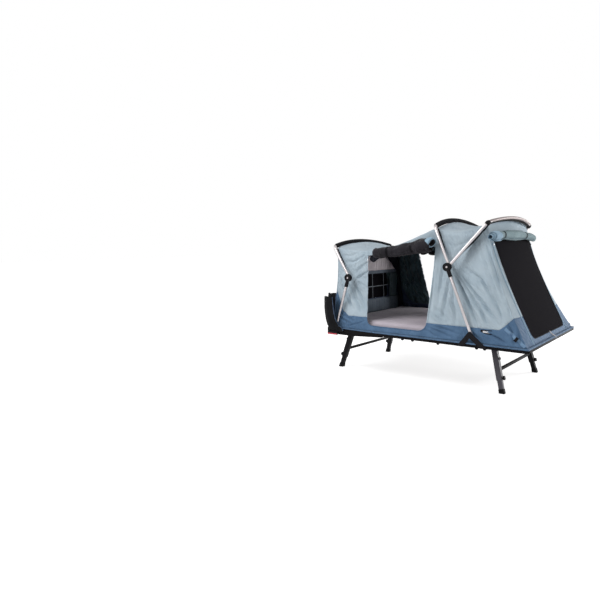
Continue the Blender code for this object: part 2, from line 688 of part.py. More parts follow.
def build_leg_pair(end, sign_x, hinge_x):
    """The beam with its hinge ears, two legs and the bar that ties them."""
    end_half = HALF_WIDTH - RAIL_WIDTH - GAP
    beam_top = PLATFORM_UNDERSIDE + BEAM_HEIGHT
    beam = add_piece(
        end + "_leg_beam",
        box(
            (hinge_x - BEAM_WIDTH / 2, -end_half, PLATFORM_UNDERSIDE),
            (hinge_x + BEAM_WIDTH / 2, end_half, beam_top),
        ),
        "black_steel",
    )
    leg_pivot = pivot(end + "_legs_hinge", (hinge_x, 0, LEG_HINGE_HEIGHT))
    ear_inner = LEG_HINGE_WIDTH / 2 + LEG_EAR_CLEARANCE
    ear_outer = ear_inner + LEG_EAR_THICKNESS
    frames = []
    for side, sign_y in SIDES.items():
        y = sign_y * (HALF_WIDTH - LEG_HINGE_INSET)
        for ear in (-1, 1):
            y0, y1 = sorted((y + ear * ear_inner, y + ear * ear_outer))
            join(
                beam,
                box(
                    (hinge_x - LEG_HINGE_RADIUS, y0, LEG_HINGE_HEIGHT),
                    (hinge_x + LEG_HINGE_RADIUS, y1, PLATFORM_UNDERSIDE + BEAM_HEIGHT / 2),
                ),
                rod((hinge_x, y0, LEG_HINGE_HEIGHT), (hinge_x, y1, LEG_HINGE_HEIGHT), LEG_HINGE_RADIUS, 24),
            )
        pin_half = ear_outer + LEG_EAR_THICKNESS / 2
        join(beam, rod(
            (hinge_x, y - pin_half, LEG_HINGE_HEIGHT), (hinge_x, y + pin_half, LEG_HINGE_HEIGHT),
            LEG_PIN_RADIUS, 16,
        ))
        hinge = Vector((hinge_x, y, LEG_HINGE_HEIGHT))
        frames.append(build_leg(end + "_" + side, sign_x, hinge, leg_pivot))

    ends = [frame @ Vector((0, 0, -CROSS_BAR_FROM_HINGE)) for frame in frames]
    half = CROSS_BAR_SIDE / 2
    bar = add_piece(
        end + "_cross_bar",
        box((ends[0].x - half, ends[0].y, ends[0].z - half), (ends[0].x + half, ends[1].y, ends[0].z + half)),
        "black_steel",
        leg_pivot,
    )
    cut(bar, *(square_box(SLEEVE_SIDE + 2 * GAP, 0, SLEEVE_END, frame) for frame in frames))


def build_strut(name, sign, pivot_xz, hub_xz, hub_y, strut_pivot):
    """A strut tube from its bracket pivot to its hub, with an eye on the pivot pin."""
    foot = Vector((pivot_xz[0], sign * STRUT_FOOT_Y, pivot_xz[1]))
    top = Vector((hub_xz[0], sign * hub_y, hub_xz[1]))
    along = (top - foot).normalized()
    strut = add_piece(
        name + "_strut",
        rod(
            foot + along * (PIVOT_EYE_RADIUS * 0.7),
            top - along * (HUB_RADIUS - HUB_SOCKET_WALL + HUB_SOCKET_LENGTH - STRUT_IN_SOCKET - HUB_SOCKET_WALL),
            TUBE_RADIUS,
        ),
        "silver_tube",
        strut_pivot,
        smooth=True,
    )
    half_eye = Vector((0, PIVOT_EYE_THICKNESS / 2, 0))
    join(strut, rod(foot - half_eye, foot + half_eye, PIVOT_EYE_RADIUS, 24))
    cut(strut, rod(foot - 2 * half_eye, foot + 2 * half_eye, PIVOT_PIN_RADIUS + PIN_CLEARANCE, 16))
    return along


def build_hub(name, sign, hub_xz, hub_y, layers, along, strut_pivot):
    """A moulded hub: disc, strut socket, the pin that carries the hoops and the button's well."""
    centre = Vector((hub_xz[0], sign * hub_y, hub_xz[1]))
    outward = Vector((0, sign, 0))
    half = outward * (HUB_THICKNESS / 2)
    hub = add_piece(
        name + "_hub", rod(centre - half, centre + half, HUB_RADIUS, 32), "black_plastic", strut_pivot, smooth=True
    )
    socket_end = centre - along * (HUB_RADIUS + HUB_SOCKET_LENGTH - HUB_SOCKET_WALL)
    socket_floor = centre - along * (HUB_RADIUS - 2 * HUB_SOCKET_WALL)
    pin_end = centre - outward * ((layers - 1) * LAYER_PITCH + EYE_THICKNESS / 2 + 2 * GAP)
    button_floor = centre + half - outward * BUTTON_DEPTH
    join(
        hub,
        rod(centre - along * (HUB_RADIUS / 2), socket_end, TUBE_RADIUS + HUB_SOCKET_WALL, 20),
        rod(centre - half / 2, pin_end - outward * (PIN_CAP_THICKNESS / 2), HUB_PIN_RADIUS, 16),
        rod(pin_end, pin_end - outward * PIN_CAP_THICKNESS, PIN_CAP_RADIUS, 16),
    )
    cut(
        hub,
        rod(socket_floor, socket_end - along * HUB_SOCKET_WALL, TUBE_RADIUS + PIN_CLEARANCE, 20),
        rod(button_floor, centre + 2 * half, BUTTON_RADIUS + PIN_CLEARANCE, 20),
    )
    button_pivot = pivot(name + "_button_axis", centre + half, strut_pivot)
    add_piece(
        name + "_hub_button",
        rod(
            button_floor + outward * (BUTTON_TRAVEL + 2 * GAP),
            centre + half + outward * BUTTON_PROUD,
            BUTTON_RADIUS,
        ),
        "silver_tube",
        button_pivot,
        smooth=True,
    )


def hoop_route(hub_xz, hub_y, hoop):
    """Centre line of a hoop from one hub to the other: leg, bend, crowned arc, bend, leg."""
    along = Vector((math.cos(hoop["angle"]), 0, math.sin(hoop["angle"])))
    centre = Vector((hub_xz[0], 0, hub_xz[1]))

    def place(radial, y):
        return centre + along * radial + Vector((0, y, 0))

    corner_y, length, crown = hoop["corner_y"], hoop["length"], hoop["crown"]
    arc_radius = (corner_y**2 + crown**2) / (2 * crown)
    half_angle = math.asin(corner_y / arc_radius)
    middle = length + crown - arc_radius
    skip = HOOP_CORNER_REACH / arc_radius
    arc = []
    for index in range(11):
        angle = (half_angle - skip) * (2 * index / 10 - 1)
        arc.append((middle + arc_radius * math.cos(angle), arc_radius * math.sin(angle)))

    start = (EYE_RADIUS * 0.8, -hub_y)
    corner = (length, -corner_y)
    leg_length = math.hypot(corner[0] - start[0], corner[1] - start[1])
    share = 1 - HOOP_CORNER_REACH / leg_length

    def on_leg(fraction):
        bow = HOOP_BOW * math.sin(math.pi * fraction)
        return (start[0] + (corner[0] - start[0]) * fraction, start[1] + (corner[1] - start[1]) * fraction - bow)

    near = [on_leg(share * index / 3) for index in range(4)]
    bend = []
    for index in range(1, 5):
        t = index / 5
        bend.append(tuple(
            (1 - t) ** 2 * near[-1][axis] + 2 * t * (1 - t) * corner[axis] + t**2 * arc[0][axis]
            for axis in (0, 1)
        ))
    half_route = near + bend
    mirrored = [(radial, -y) for radial, y in reversed(half_route)]
    return [place(radial, y) for radial, y in half_route + arc + mirrored]


def build_hoop(name, hub_xz, hub_y, hoop, hoop_pivot):
    """One bent tube from side to side, with an eye on each hub's pin."""
    tube_hoop = add_piece(
        name, tube(hoop_route(hub_xz, hub_y, hoop), TUBE_RADIUS), "silver_tube", hoop_pivot, smooth=True
    )
    for sign in SIDES.values():
        centre = Vector((hub_xz[0], sign * hub_y, hub_xz[1]))
        half_eye = Vector((0, EYE_THICKNESS / 2, 0))
        join(tube_hoop, rod(centre - half_eye, centre + half_eye, EYE_RADIUS, 24))
        cut(tube_hoop, rod(centre - 2 * half_eye, centre + 2 * half_eye, HUB_PIN_RADIUS + PIN_CLEARANCE, 16))


def build_bracket(name, sign, outline, pivot_xz):
    """A plate on the rail's outer face, with the pin that the strut turns on."""
    inner_y = HALF_WIDTH + GAP
    bracket = add_piece(
        name, plate(outline, sign * (inner_y + BRACKET_THICKNESS / 2), BRACKET_THICKNESS), "black_plastic"
    )
    pin_end = STRUT_FOOT_Y - PIVOT_EYE_THICKNESS / 2 - GAP
    x, z = pivot_xz
    join(
        bracket,
        rod((x, sign * (inner_y + GAP), z), (x, sign * (pin_end - PIN_CAP_THICKNESS / 2), z), PIVOT_PIN_RADIUS, 16),
        rod((x, sign * pin_end, z), (x, sign * (pin_end - PIN_CAP_THICKNESS), z), PIVOT_EYE_RADIUS * 0.6, 16),
    )


def bracket_apex(pivot_xz):
    """The rounded top of a bracket, from its foot side to its hitch side."""
    x, z = pivot_xz
    return arc_points((x, z - BRACKET_APEX_HALF + BRACKET_APEX_RISE), BRACKET_APEX_HALF, 20, 160, 6)


def build_tent_frame():
    """Brackets, struts and hubs on both sides, and the three hoops across."""
    foot_pivot = pivot("foot_strut_pivot", (FOOT_PIVOT[0], 0, FOOT_PIVOT[1]))
    hitch_pivot = pivot("hitch_strut_pivot", (HITCH_PIVOT[0], 0, HITCH_PIVOT[1]))
    low = PLATFORM_UNDERSIDE + GAP
    foot_x, hitch_x = FOOT_PIVOT[0], HITCH_PIVOT[0]
    a_outline = [(foot_x + A_BRACKET_FOOTWARD[1], low)] + bracket_apex(FOOT_PIVOT) + [
        (foot_x - A_BRACKET_HITCHWARD[0], low),
        (foot_x - A_BRACKET_HITCHWARD[1], low),
        (foot_x, FOOT_PIVOT[1] - A_BRACKET_CROTCH),
        (foot_x + A_BRACKET_FOOTWARD[0], low),
    ]
    corner_outline = [(hitch_x + CORNER_BRACKET_FOOTWARD, low)] + bracket_apex(HITCH_PIVOT) + [
        (hitch_x - CORNER_BRACKET_HITCHWARD, low),
    ]
    for side, sign in SIDES.items():
        build_bracket(side + "_a_bracket", sign, a_outline, FOOT_PIVOT)
        build_bracket(side + "_corner_bracket", sign, corner_outline, HITCH_PIVOT)
        along = build_strut("foot_" + side, sign, FOOT_PIVOT, FOOT_HUB, FOOT_HUB_Y, foot_pivot)
        build_hub("foot_" + side, sign, FOOT_HUB, FOOT_HUB_Y, 3, along, foot_pivot)
        along = build_strut("hitch_" + side, sign, HITCH_PIVOT, HITCH_HUB, HITCH_HUB_Y, hitch_pivot)
        build_hub("hitch_" + side, sign, HITCH_HUB, HITCH_HUB_Y, 2, along, hitch_pivot)

    for name, hub, hub_y, hoop, strut_pivot in (
        ("foot_hoop", FOOT_HUB, FOOT_HUB_Y - LAYER_PITCH, FOOT_HOOP, foot_pivot),
        ("middle_hoop", FOOT_HUB, FOOT_HUB_Y - 2 * LAYER_PITCH, MIDDLE_HOOP, foot_pivot),
        ("hitch_hoop", HITCH_HUB, HITCH_HUB_Y - LAYER_PITCH, HITCH_HOOP, hitch_pivot),
    ):
        hoop_pivot = pivot(name + "_pivot", (hub[0], 0, hub[1]), strut_pivot)
        build_hoop(name, hub, hub_y, hoop, hoop_pivot)


# Fabric lines: tables of (x, value) read along the tent
FABRIC_HALF_WIDTH = HALF_WIDTH - FABRIC_INSET_SIDE
FABRIC_HITCH_X = HITCH_END_X + FABRIC_INSET_HITCH
FABRIC_FOOT_X = FOOT_END_X - FABRIC_INSET_FOOT
HITCH_CORNER = hoop_corner(HITCH_HUB, HITCH_HOOP)
MIDDLE_CORNER = hoop_corner(FOOT_HUB, MIDDLE_HOOP)
FOOT_CORNER = hoop_corner(FOOT_HUB, FOOT_HOOP)
EAVE_HITCH = (HITCH_CORNER[0] + TUBE_RADIUS + EAVE_BEFORE_END_HOOP, HITCH_CORNER[1] - FABRIC_BELOW_HOOP)
EAVE_MIDDLE = (MIDDLE_CORNER[0], MIDDLE_CORNER[1] - FABRIC_BELOW_HOOP)
EAVE_FOOT = (FOOT_CORNER[0] - TUBE_RADIUS - EAVE_BEFORE_END_HOOP, FOOT_CORNER[1] - FABRIC_BELOW_HOOP)


def along_span(start, end, share, value):
    return (start[0] + (end[0] - start[0]) * share, value)


def sagging_span(start, end, sags):
    """Points of an eave between two supports: each sag hangs below the straight line."""
    return [
        along_span(start, end, share, start[1] + (end[1] - start[1]) * share - sag) for share, sag in sags
    ]


DOOR_FOOT_EDGE = MIDDLE_CORNER[0] + DOOR_PAST_HOOP_CORNER
DOOR_HITCH_EDGE = DOOR_FOOT_EDGE - DOOR_WIDTH
EAVE_HEIGHTS = [EAVE_HITCH] + sagging_span(EAVE_HITCH, EAVE_MIDDLE, SAGS_HITCH_SPAN)
EAVE_HEIGHTS += [EAVE_MIDDLE] + sagging_span(EAVE_MIDDLE, EAVE_FOOT, SAGS_FOOT_SPAN) + [EAVE_FOOT]
CROWN_RISES = [along_span(EAVE_HITCH, EAVE_MIDDLE, share, rise) for share, rise in CROWN_RISES_HITCH_SPAN]
CROWN_RISES += [along_span(EAVE_MIDDLE, EAVE_FOOT, share, rise) for share, rise in CROWN_RISES_FOOT_SPAN]
EAVE_HALF_WIDTHS = [
    (EAVE_HITCH[0], HITCH_HOOP["corner_y"] - EAVE_INSIDE_HOOP - EAVE_INSET_AT_ENDS),
    (EAVE_MIDDLE[0], MIDDLE_HOOP["corner_y"] - EAVE_INSIDE_HOOP),
    (EAVE_FOOT[0], FOOT_HOOP["corner_y"] - EAVE_INSIDE_HOOP - EAVE_INSET_AT_ENDS),
]
EAVE_PLACES = [
    (FABRIC_HITCH_X, EAVE_HITCH[0]),
    (FABRIC_HITCH_X + EAVE_LEAN_REACH_HITCH, FABRIC_HITCH_X + EAVE_LEAN_REACH_HITCH),
    (FABRIC_FOOT_X - EAVE_LEAN_REACH_FOOT, FABRIC_FOOT_X - EAVE_LEAN_REACH_FOOT),
    (FABRIC_FOOT_X, EAVE_FOOT[0]),
]
SKIRT_HEIGHTS = [
    (FABRIC_HITCH_X, SKIRT_HEIGHT_HITCH),
    (FABRIC_HITCH_X + SKIRT_HITCH_KNEE, SKIRT_HEIGHT + SKIRT_HITCH_KNEE_RISE),
    (FABRIC_HITCH_X + SKIRT_HITCH_STEP, SKIRT_HEIGHT),
    (FABRIC_FOOT_X - SKIRT_FOOT_STEP, SKIRT_HEIGHT),
    (FABRIC_FOOT_X - SKIRT_FOOT_KNEE, SKIRT_HEIGHT + SKIRT_FOOT_KNEE_RISE),
    (FABRIC_FOOT_X, SKIRT_HEIGHT_FOOT),
]


def side_columns():
    """X of each column of a side wall at its foot: at the skirt's corners, the hoop and between."""
    places = [x for x, _ in SKIRT_HEIGHTS[:3]]
    for target, count in (
        (MIDDLE_CORNER[0], COLUMN_COUNT_TO_MIDDLE_HOOP),
        (SKIRT_HEIGHTS[3][0], COLUMN_COUNT_TO_FOOT_STEP),
    ):
        start = places[-1]
        places += [start + (target - start) * index / count for index in range(1, count + 1)]
    return places + [x for x, _ in SKIRT_HEIGHTS[4:]]


def side_column(foot_x, sign):
    """Foot, head and inward sag of one column of a side wall."""
    eave_x = interpolate(EAVE_PLACES, foot_x)
    foot = Vector((foot_x, sign * FABRIC_HALF_WIDTH, FABRIC_BOTTOM))
    head = Vector((eave_x, sign * interpolate(EAVE_HALF_WIDTHS, eave_x), interpolate(EAVE_HEIGHTS, eave_x)))
    share = (foot_x - FABRIC_HITCH_X) / (FABRIC_FOOT_X - FABRIC_HITCH_X)
    sag = Vector((-FOOT_WALL_SAG * share**6, -sign * WALL_SAG * math.sin(math.pi * share), 0))
    return foot, head, sag, interpolate(SKIRT_HEIGHTS, foot_x)


def end_column(across, at_foot):
    """Foot, head and inward sag of one column of an end wall; across runs from -1 to 1."""
    eave_x = EAVE_FOOT[0] if at_foot else EAVE_HITCH[0]
    foot = Vector((FABRIC_FOOT_X if at_foot else FABRIC_HITCH_X, across * FABRIC_HALF_WIDTH, FABRIC_BOTTOM))
    rise = interpolate(CROWN_RISES, eave_x) * (1 - across**2)
    head = Vector((
        eave_x, across * interpolate(EAVE_HALF_WIDTHS, eave_x), interpolate(EAVE_HEIGHTS, eave_x) + rise
    ))
    sag = Vector((-FOOT_WALL_SAG if at_foot else 0.0, 0, 0))
    return foot, head, sag, SKIRT_HEIGHT_FOOT if at_foot else SKIRT_HEIGHT_HITCH


def wall_ring():
    """All wall columns, once round: near side, foot end, far side, hitch end."""
    xs = side_columns()
    steps = [2 * index / COLUMN_COUNT_ACROSS - 1 for index in range(1, COLUMN_COUNT_ACROSS)]
    ring = [side_column(x, -1) for x in xs]
    ring += [end_column(step, True) for step in steps]
    ring += [side_column(x, 1) for x in reversed(xs)]
    ring += [end_column(-step, False) for step in steps]
    return ring


def wall_point(column, height_share):
    """The outer face of a wall column, from its foot at 0 to its head at 1."""
    foot, head, sag, _ = column
    return foot.lerp(head, height_share) + sag * math.sin(math.pi * height_share)


def skirt_share(column):
    """The height share at which the dark skirt gives way to the light canopy."""
    foot, head, _, skirt = column
    return skirt / (head.z - foot.z)


def ring_surface(bm, ring, rows, low_share, high_share):
    """Rows of points round the walls, joined by faces that look outward; returns the top row."""
    grid = []
    for row in range(rows + 1):
        level = []
        for column in ring:
            low, high = low_share(column), high_share(column)
            level.append(bm.verts.new(wall_point(column, low + (high - low) * row / rows)))
        grid.append(level)
    count = len(ring)
    for row in range(rows):
        for index in range(count):
            following = (index + 1) % count
            bm.faces.new((
                grid[row][index], grid[row][following], grid[row + 1][following], grid[row + 1][index]
            ))
    return grid[-1]


def roof_surface(bm, top):
    """The roof between the heads of the walls, column by column across the tent."""
    along, across = len(side_columns()), COLUMN_COUNT_ACROSS
    near = top[:along]
    foot = top[along:along + across - 1]
    far = list(reversed(top[along + across - 1:2 * along + across - 1]))
    hitch = list(reversed(top[2 * along + across - 1:]))
    rows = [near]
    for step in range(1, across):
        share = 2 * step / across - 1
        line = [hitch[step - 1]]
        for index in range(1, along - 1):
            a, b = near[index].co, far[index].co
            rise = interpolate(CROWN_RISES, a.x) * (1 - share**2)
            line.append(bm.verts.new(a.lerp(b, step / across) + Vector((0, 0, rise))))
        line.append(foot[step - 1])
        rows.append(line)
    rows.append(far)
    for low, high in zip(rows, rows[1:]):
        for index in range(along - 1):
            bm.faces.new((low[index], low[index + 1], high[index + 1], high[index]))


def thicken(obj, thickness):
    """Gives an open sheet its thickness, inward from its outer face."""
    solidify = obj.modifiers.new("cloth", "SOLIDIFY")
    solidify.thickness = thickness
    solidify.offset = -1


def rounded_bottom(low_left, low_right, top_left, top_right, radius):
    """An opening's outline with square top corners and rounded bottom corners."""
    outline = [top_right, top_left]
    outline += arc_points((low_left[0] + radius, low_left[1] + radius), radius, 180, 270, 5)
    outline += arc_points((low_right[0] - radius, low_right[1] + radius), radius, 270, 360, 5)
    return outline


def door_outline():
    sill = FABRIC_BOTTOM + DOOR_SILL
    return rounded_bottom(
        (DOOR_HITCH_EDGE, sill),
        (DOOR_FOOT_EDGE, sill),
        (DOOR_HITCH_EDGE - DOOR_EDGE_SLANT, FABRIC_BOTTOM + DOOR_TOP_HITCH),
        (DOOR_FOOT_EDGE, FABRIC_BOTTOM + DOOR_TOP_FOOT),
        DOOR_CORNER_RADIUS,
    )


def end_window(half_width, sill, top, radius, inset, at_foot):
    """A solid through an end wall with a window's outline, less an inset; the sill is above the hem."""
    low, high = FABRIC_BOTTOM + sill + inset, top - inset
    half = half_width - inset
    outline = rounded_bottom((-half, low), (half, low), (-half, high), (half, high), radius)
    if at_foot:
        start, end = EAVE_FOOT[0] - WALL_SAG, FOOT_END_X + RAIL_WIDTH
    else:
        start, end = EAVE_HITCH[0] - RAIL_WIDTH, FABRIC_HITCH_X + RAIL_WIDTH
    bm = plate(outline, 0.0, end - start)
    turn = Matrix.Translation(((start + end) / 2, 0, 0)) @ Matrix.Rotation(math.radians(90), 4, "Z")
    bmesh.ops.transform(bm, matrix=turn, verts=bm.verts)
    return bm


def foot_window(inset):
    half_width = HALF_WIDTH - FOOT_WINDOW_INSET
    top = EAVE_FOOT[1] - FOOT_WINDOW_BELOW_EAVE
    return end_window(half_width, FOOT_WINDOW_SILL, top, FOOT_WINDOW_RADIUS, inset, True)


def hitch_window(inset):
    half_width = HALF_WIDTH - HITCH_WINDOW_INSET
    top = EAVE_HITCH[1] - HITCH_WINDOW_BELOW_EAVE
    return end_window(half_width, HITCH_WINDOW_SILL, top, HITCH_WINDOW_RADIUS, inset, False)


def build_panel(name, at_foot, window):
    """A mesh panel that fills a window: a sheet in the end wall, trimmed to the window's outline."""
    bm = bmesh.new()
    rows = 2 * WALL_ROW_COUNT
    across = COLUMN_COUNT_ACROSS
    columns = [end_column(2 * index / across - 1, at_foot) for index in range(across + 1)]
    grid = [[bm.verts.new(wall_point(column, row / rows)) for column in columns] for row in range(rows + 1)]
    for low, high in zip(grid, grid[1:]):
        for index in range(across):
            face = (low[index], low[index + 1], high[index + 1], high[index])
            bm.faces.new(face if at_foot else tuple(reversed(face)))
    panel = add_piece(name, bm, "black_mesh")
    thicken(panel, PANEL_THICKNESS)
    combine(panel, window, "INTERSECT")


def build_roll(name, points, radius, finish):
    """A rolled-up door: a soft tube, pinched where its ties hold it."""
    count = len(points)
    radii = []
    for index in range(count):
        share = index / (count - 1)
        radii.append(1 - ROLL_PINCH * math.exp(-((share - 0.25) / 0.05) ** 2)
                     - ROLL_PINCH * math.exp(-((share - 0.75) / 0.05) ** 2))
    add_piece(name, tube(points, radius, 3, radii), finish, smooth=True)


def build_rolls():
    """The two side doors rolled under the eaves and the foot door rolled above its window."""
    count = 13
    for side, sign in SIDES.items():
        points = []
        for index in range(count):
            share = index / (count - 1)
            x = DOOR_HITCH_EDGE - 0.015 + (DOOR_FOOT_EDGE - DOOR_HITCH_EDGE + 0.015) * share
            drop = DOOR_ROLL_DROP_HITCH + (DOOR_ROLL_DROP_FOOT - DOOR_ROLL_DROP_HITCH) * share
            eave = interpolate(EAVE_HALF_WIDTHS, x)
            y = sign * (eave + DOOR_ROLL_RADIUS + DOOR_ROLL_CLEARANCE + 0.2 * drop)
            points.append((x, y, interpolate(EAVE_HEIGHTS, x) - drop))
        build_roll(side + "_door_roll", points, DOOR_ROLL_RADIUS, "dark_roll")
    points = []
    for index in range(count):
        across = 2 * index / (count - 1) - 1
        column = end_column(across * 0.9, True)
        height = EAVE_FOOT[1] - FOOT_ROLL_BELOW_EAVE - FOOT_ROLL_DROOP * (abs(across) ** 3)
        share = (height - column[0].z) / (column[1].z - column[0].z)
        wall_x = wall_point(column, share).x
        y = across * (HALF_WIDTH - FOOT_ROLL_INSET) - FOOT_ROLL_PAST_NEAR_SIDE
        points.append((wall_x + FOOT_ROLL_STAND_OFF, y, height))
    build_roll("foot_door_roll", points, FOOT_ROLL_RADIUS, "light_fabric")


def build_straps():
    """A webbing strap at each foot corner, from the skirt to the platform's corner."""
    for side, sign in SIDES.items():
        ends = []
        for from_end, rise in (
            (STRAP_TOP_FROM_END, STRAP_TOP_RISE),
            (STRAP_FOOT_FROM_END, STRAP_FOOT_RISE),
        ):
            column = side_column(FOOT_END_X - from_end, sign)
            share = rise / (column[1].z - column[0].z)
            ends.append(wall_point(column, share) + Vector((0, sign * STRAP_STAND_OFF, 0)))
        top, foot = ends
        run = (foot - top).normalized()
        across = Vector((0, sign, 0)).cross(run).normalized()
        frame = Matrix((run, across, run.cross(across))).transposed().to_4x4()
        frame.translation = top
        add_piece(
            side + "_corner_strap",
            box((0, -STRAP_WIDTH / 2, 0), ((foot - top).length, STRAP_WIDTH / 2, STRAP_THICKNESS), frame),
            "webbing",
        )


def build_fabric():
    """Skirt, canopy, mesh panels, rolled doors and straps."""
    ring = wall_ring()
    bm = bmesh.new()
    ring_surface(bm, ring, SKIRT_ROW_COUNT, lambda column: 0.0, skirt_share)
    skirt = add_piece("tub_skirt", bm, "dark_fabric")
    bm = bmesh.new()
    top = ring_surface(
        bm, ring, WALL_ROW_COUNT,
        lambda column: skirt_share(column) + SEAM_GAP / (column[1].z - column[0].z),
        lambda column: 1.0,
    )
    roof_surface(bm, top)
    canopy = add_piece("canopy", bm, "light_fabric")
    doorway = 2 * PLATFORM_WIDTH
    for sheet in (skirt, canopy):
        thicken(sheet, FABRIC_THICKNESS)
        cut(sheet, plate(door_outline(), 0.0, doorway), foot_window(0.0), hitch_window(0.0))
    build_panel("foot_mesh_panel", True, foot_window(PANEL_CLEARANCE))
    build_panel("hitch_mesh_panel", False, hitch_window(PANEL_CLEARANCE))
    build_rolls()
    build_straps()


start_scene()
build_platform()
build_hitch_end()
build_leg_pair("foot", 1, FOOT_END_X - FOOT_LEGS_FROM_END)
build_leg_pair("hitch", -1, HITCH_END_X + HITCH_LEGS_FROM_END)
build_tent_frame()
build_fabric()
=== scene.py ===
"""Look of the hitch tent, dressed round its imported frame.

Metres, +Z up. +X points from the vehicle to the foot end, -Y is the near side with its door in view.
The soft pieces follow the same lines as the part's solids, only finer, with their folds and seams.
"""

import json
import math

import bmesh
import bpy
import numpy as np
from mathutils import Matrix, Vector, noise

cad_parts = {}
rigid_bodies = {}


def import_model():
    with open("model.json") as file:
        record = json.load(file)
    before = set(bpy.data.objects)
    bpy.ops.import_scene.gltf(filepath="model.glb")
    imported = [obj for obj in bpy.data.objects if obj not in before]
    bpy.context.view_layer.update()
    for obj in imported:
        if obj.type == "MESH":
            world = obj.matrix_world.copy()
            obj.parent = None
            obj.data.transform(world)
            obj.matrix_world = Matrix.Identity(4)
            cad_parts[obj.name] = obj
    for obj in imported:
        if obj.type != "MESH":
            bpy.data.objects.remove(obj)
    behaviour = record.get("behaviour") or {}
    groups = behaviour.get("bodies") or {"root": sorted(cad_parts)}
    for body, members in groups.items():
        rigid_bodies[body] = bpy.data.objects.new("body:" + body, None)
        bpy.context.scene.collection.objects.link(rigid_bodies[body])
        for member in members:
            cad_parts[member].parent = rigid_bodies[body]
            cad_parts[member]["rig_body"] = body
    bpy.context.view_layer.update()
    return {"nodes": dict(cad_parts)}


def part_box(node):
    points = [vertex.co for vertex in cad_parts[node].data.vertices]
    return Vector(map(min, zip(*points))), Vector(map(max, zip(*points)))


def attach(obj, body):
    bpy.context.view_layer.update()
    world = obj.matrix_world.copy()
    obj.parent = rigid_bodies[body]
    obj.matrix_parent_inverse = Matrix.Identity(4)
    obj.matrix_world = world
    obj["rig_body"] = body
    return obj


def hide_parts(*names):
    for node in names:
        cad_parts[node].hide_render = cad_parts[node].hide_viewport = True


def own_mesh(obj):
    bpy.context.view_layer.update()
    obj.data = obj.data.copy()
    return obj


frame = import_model()
nodes = frame["nodes"]

SIDES = {"near": -1, "far": 1}

# Platform
FOOT_END_X = 1.115
HITCH_END_X = -0.865
HALF_WIDTH = 0.770
PLATFORM_UNDERSIDE = 0.430
RAIL_WIDTH = 0.040

# Tent frame: hubs in X and Z, hoops as length, angle, crown and half width at the corner
TUBE_RADIUS = 0.0135
FOOT_HUB = (0.379593, 1.106428)
FOOT_HUB_Y = 0.690
HITCH_HUB = (-0.660294, 0.973665)
HITCH_HUB_Y = 0.700
LAYER_PITCH = 0.029
RIDGE_HEIGHT = 1.546
EYE_RADIUS = 0.020
EYE_HALF_WIDTH = 0.0125
EYE_BORE_RADIUS = 0.0084
HOOP_BOW = 0.006
HOOP_CORNER_REACH = 0.055

# Fabric
FABRIC_BOTTOM = 0.468
FABRIC_HALF_WIDTH = 0.750
FABRIC_HITCH_X = -0.850
FABRIC_FOOT_X = 1.095
WALL_SAG = 0.018
FOOT_WALL_SAG = 0.030
SKIRT_HEIGHT_FOOT = 0.228
SKIRT_HEIGHT_HITCH = 0.364
CLOTH_THICKNESS = 0.0016


def polar(centre, length, angle):
    return (centre[0] + length * math.cos(angle), centre[1] + length * math.sin(angle))


def hoop_facts(hub, hub_y, angle, crown, corner_y, length=None):
    """One hoop's sizes; without a length its crown reaches the ridge."""
    angle = math.radians(angle)
    if length is None:
        length = (RIDGE_HEIGHT - hub[1]) / math.sin(angle) - crown
    return {
        "hub": hub, "hub_y": hub_y, "angle": angle, "crown": crown, "corner_y": corner_y,
        "length": length, "corner": polar(hub, length, angle),
    }


HOOPS = {
    "hitch_hoop": hoop_facts(HITCH_HUB, HITCH_HUB_Y - LAYER_PITCH, 127.8, 0.078, 0.600, 0.400),
    "middle_hoop": hoop_facts(FOOT_HUB, FOOT_HUB_Y - 2 * LAYER_PITCH, 116.9, 0.080, 0.560),
    "foot_hoop": hoop_facts(FOOT_HUB, FOOT_HUB_Y - LAYER_PITCH, 50.7, 0.065, 0.592),
}

# Materials of the tent's own finishes

FINISHES = {}


def linear(hex_colour):
    """A colour given as sRGB hex, as the linear values that a shader takes."""
    parts = [int(hex_colour[i:i + 2], 16) / 255 for i in (1, 3, 5)]
    return (*(c / 12.92 if c <= 0.04045 else ((c + 0.055) / 1.055) ** 2.4 for c in parts), 1.0)


def add_node(tree, kind, inputs=None, **settings):
    """A node with its settings; each input is a value or another node's output."""
    node = tree.nodes.new("ShaderNode" + kind)
    for name, value in settings.items():
        setattr(node, name, value)
    for socket, value in (inputs or {}).items():
        if isinstance(value, bpy.types.NodeSocket):
            tree.links.new(value, node.inputs[socket])
        else:
            node.inputs[socket].default_value = value
    return node


def start_finish(name, **sockets):
    """A new material in the table of finishes: its tree, its shader and its coordinates."""
    FINISHES[name] = bpy.data.materials.new(name)
    FINISHES[name].use_nodes = True
    tree = FINISHES[name].node_tree
    shader = tree.nodes["Principled BSDF"]
    for socket, value in sockets.items():
        shader.inputs[socket.replace("_", " ")].default_value = value
    return tree, shader, tree.nodes.new("ShaderNodeTexCoord").outputs


def colour_between(tree, shader, factor, colours, low, high):
    """Drives the base colour from one colour to the other."""
    ramp = add_node(tree, "ValToRGB", {"Fac": factor})
    ramp.color_ramp.elements[0].position = low
    ramp.color_ramp.elements[1].position = high
    for element, colour in zip(ramp.color_ramp.elements, colours):
        element.color = linear(colour)
    tree.links.new(ramp.outputs["Color"], shader.inputs["Base Color"])


def blotches(tree, shader, place, scale, colours):
    """Soft patches between two colours, as dust and wear leave them."""
    cloud = add_node(
        tree, "TexNoise", {"Vector": place["Object"], "Scale": scale, "Detail": 4.0, "Roughness": 0.55}
    )
    colour_between(tree, shader, cloud.outputs["Fac"], colours, 0.32, 0.68)


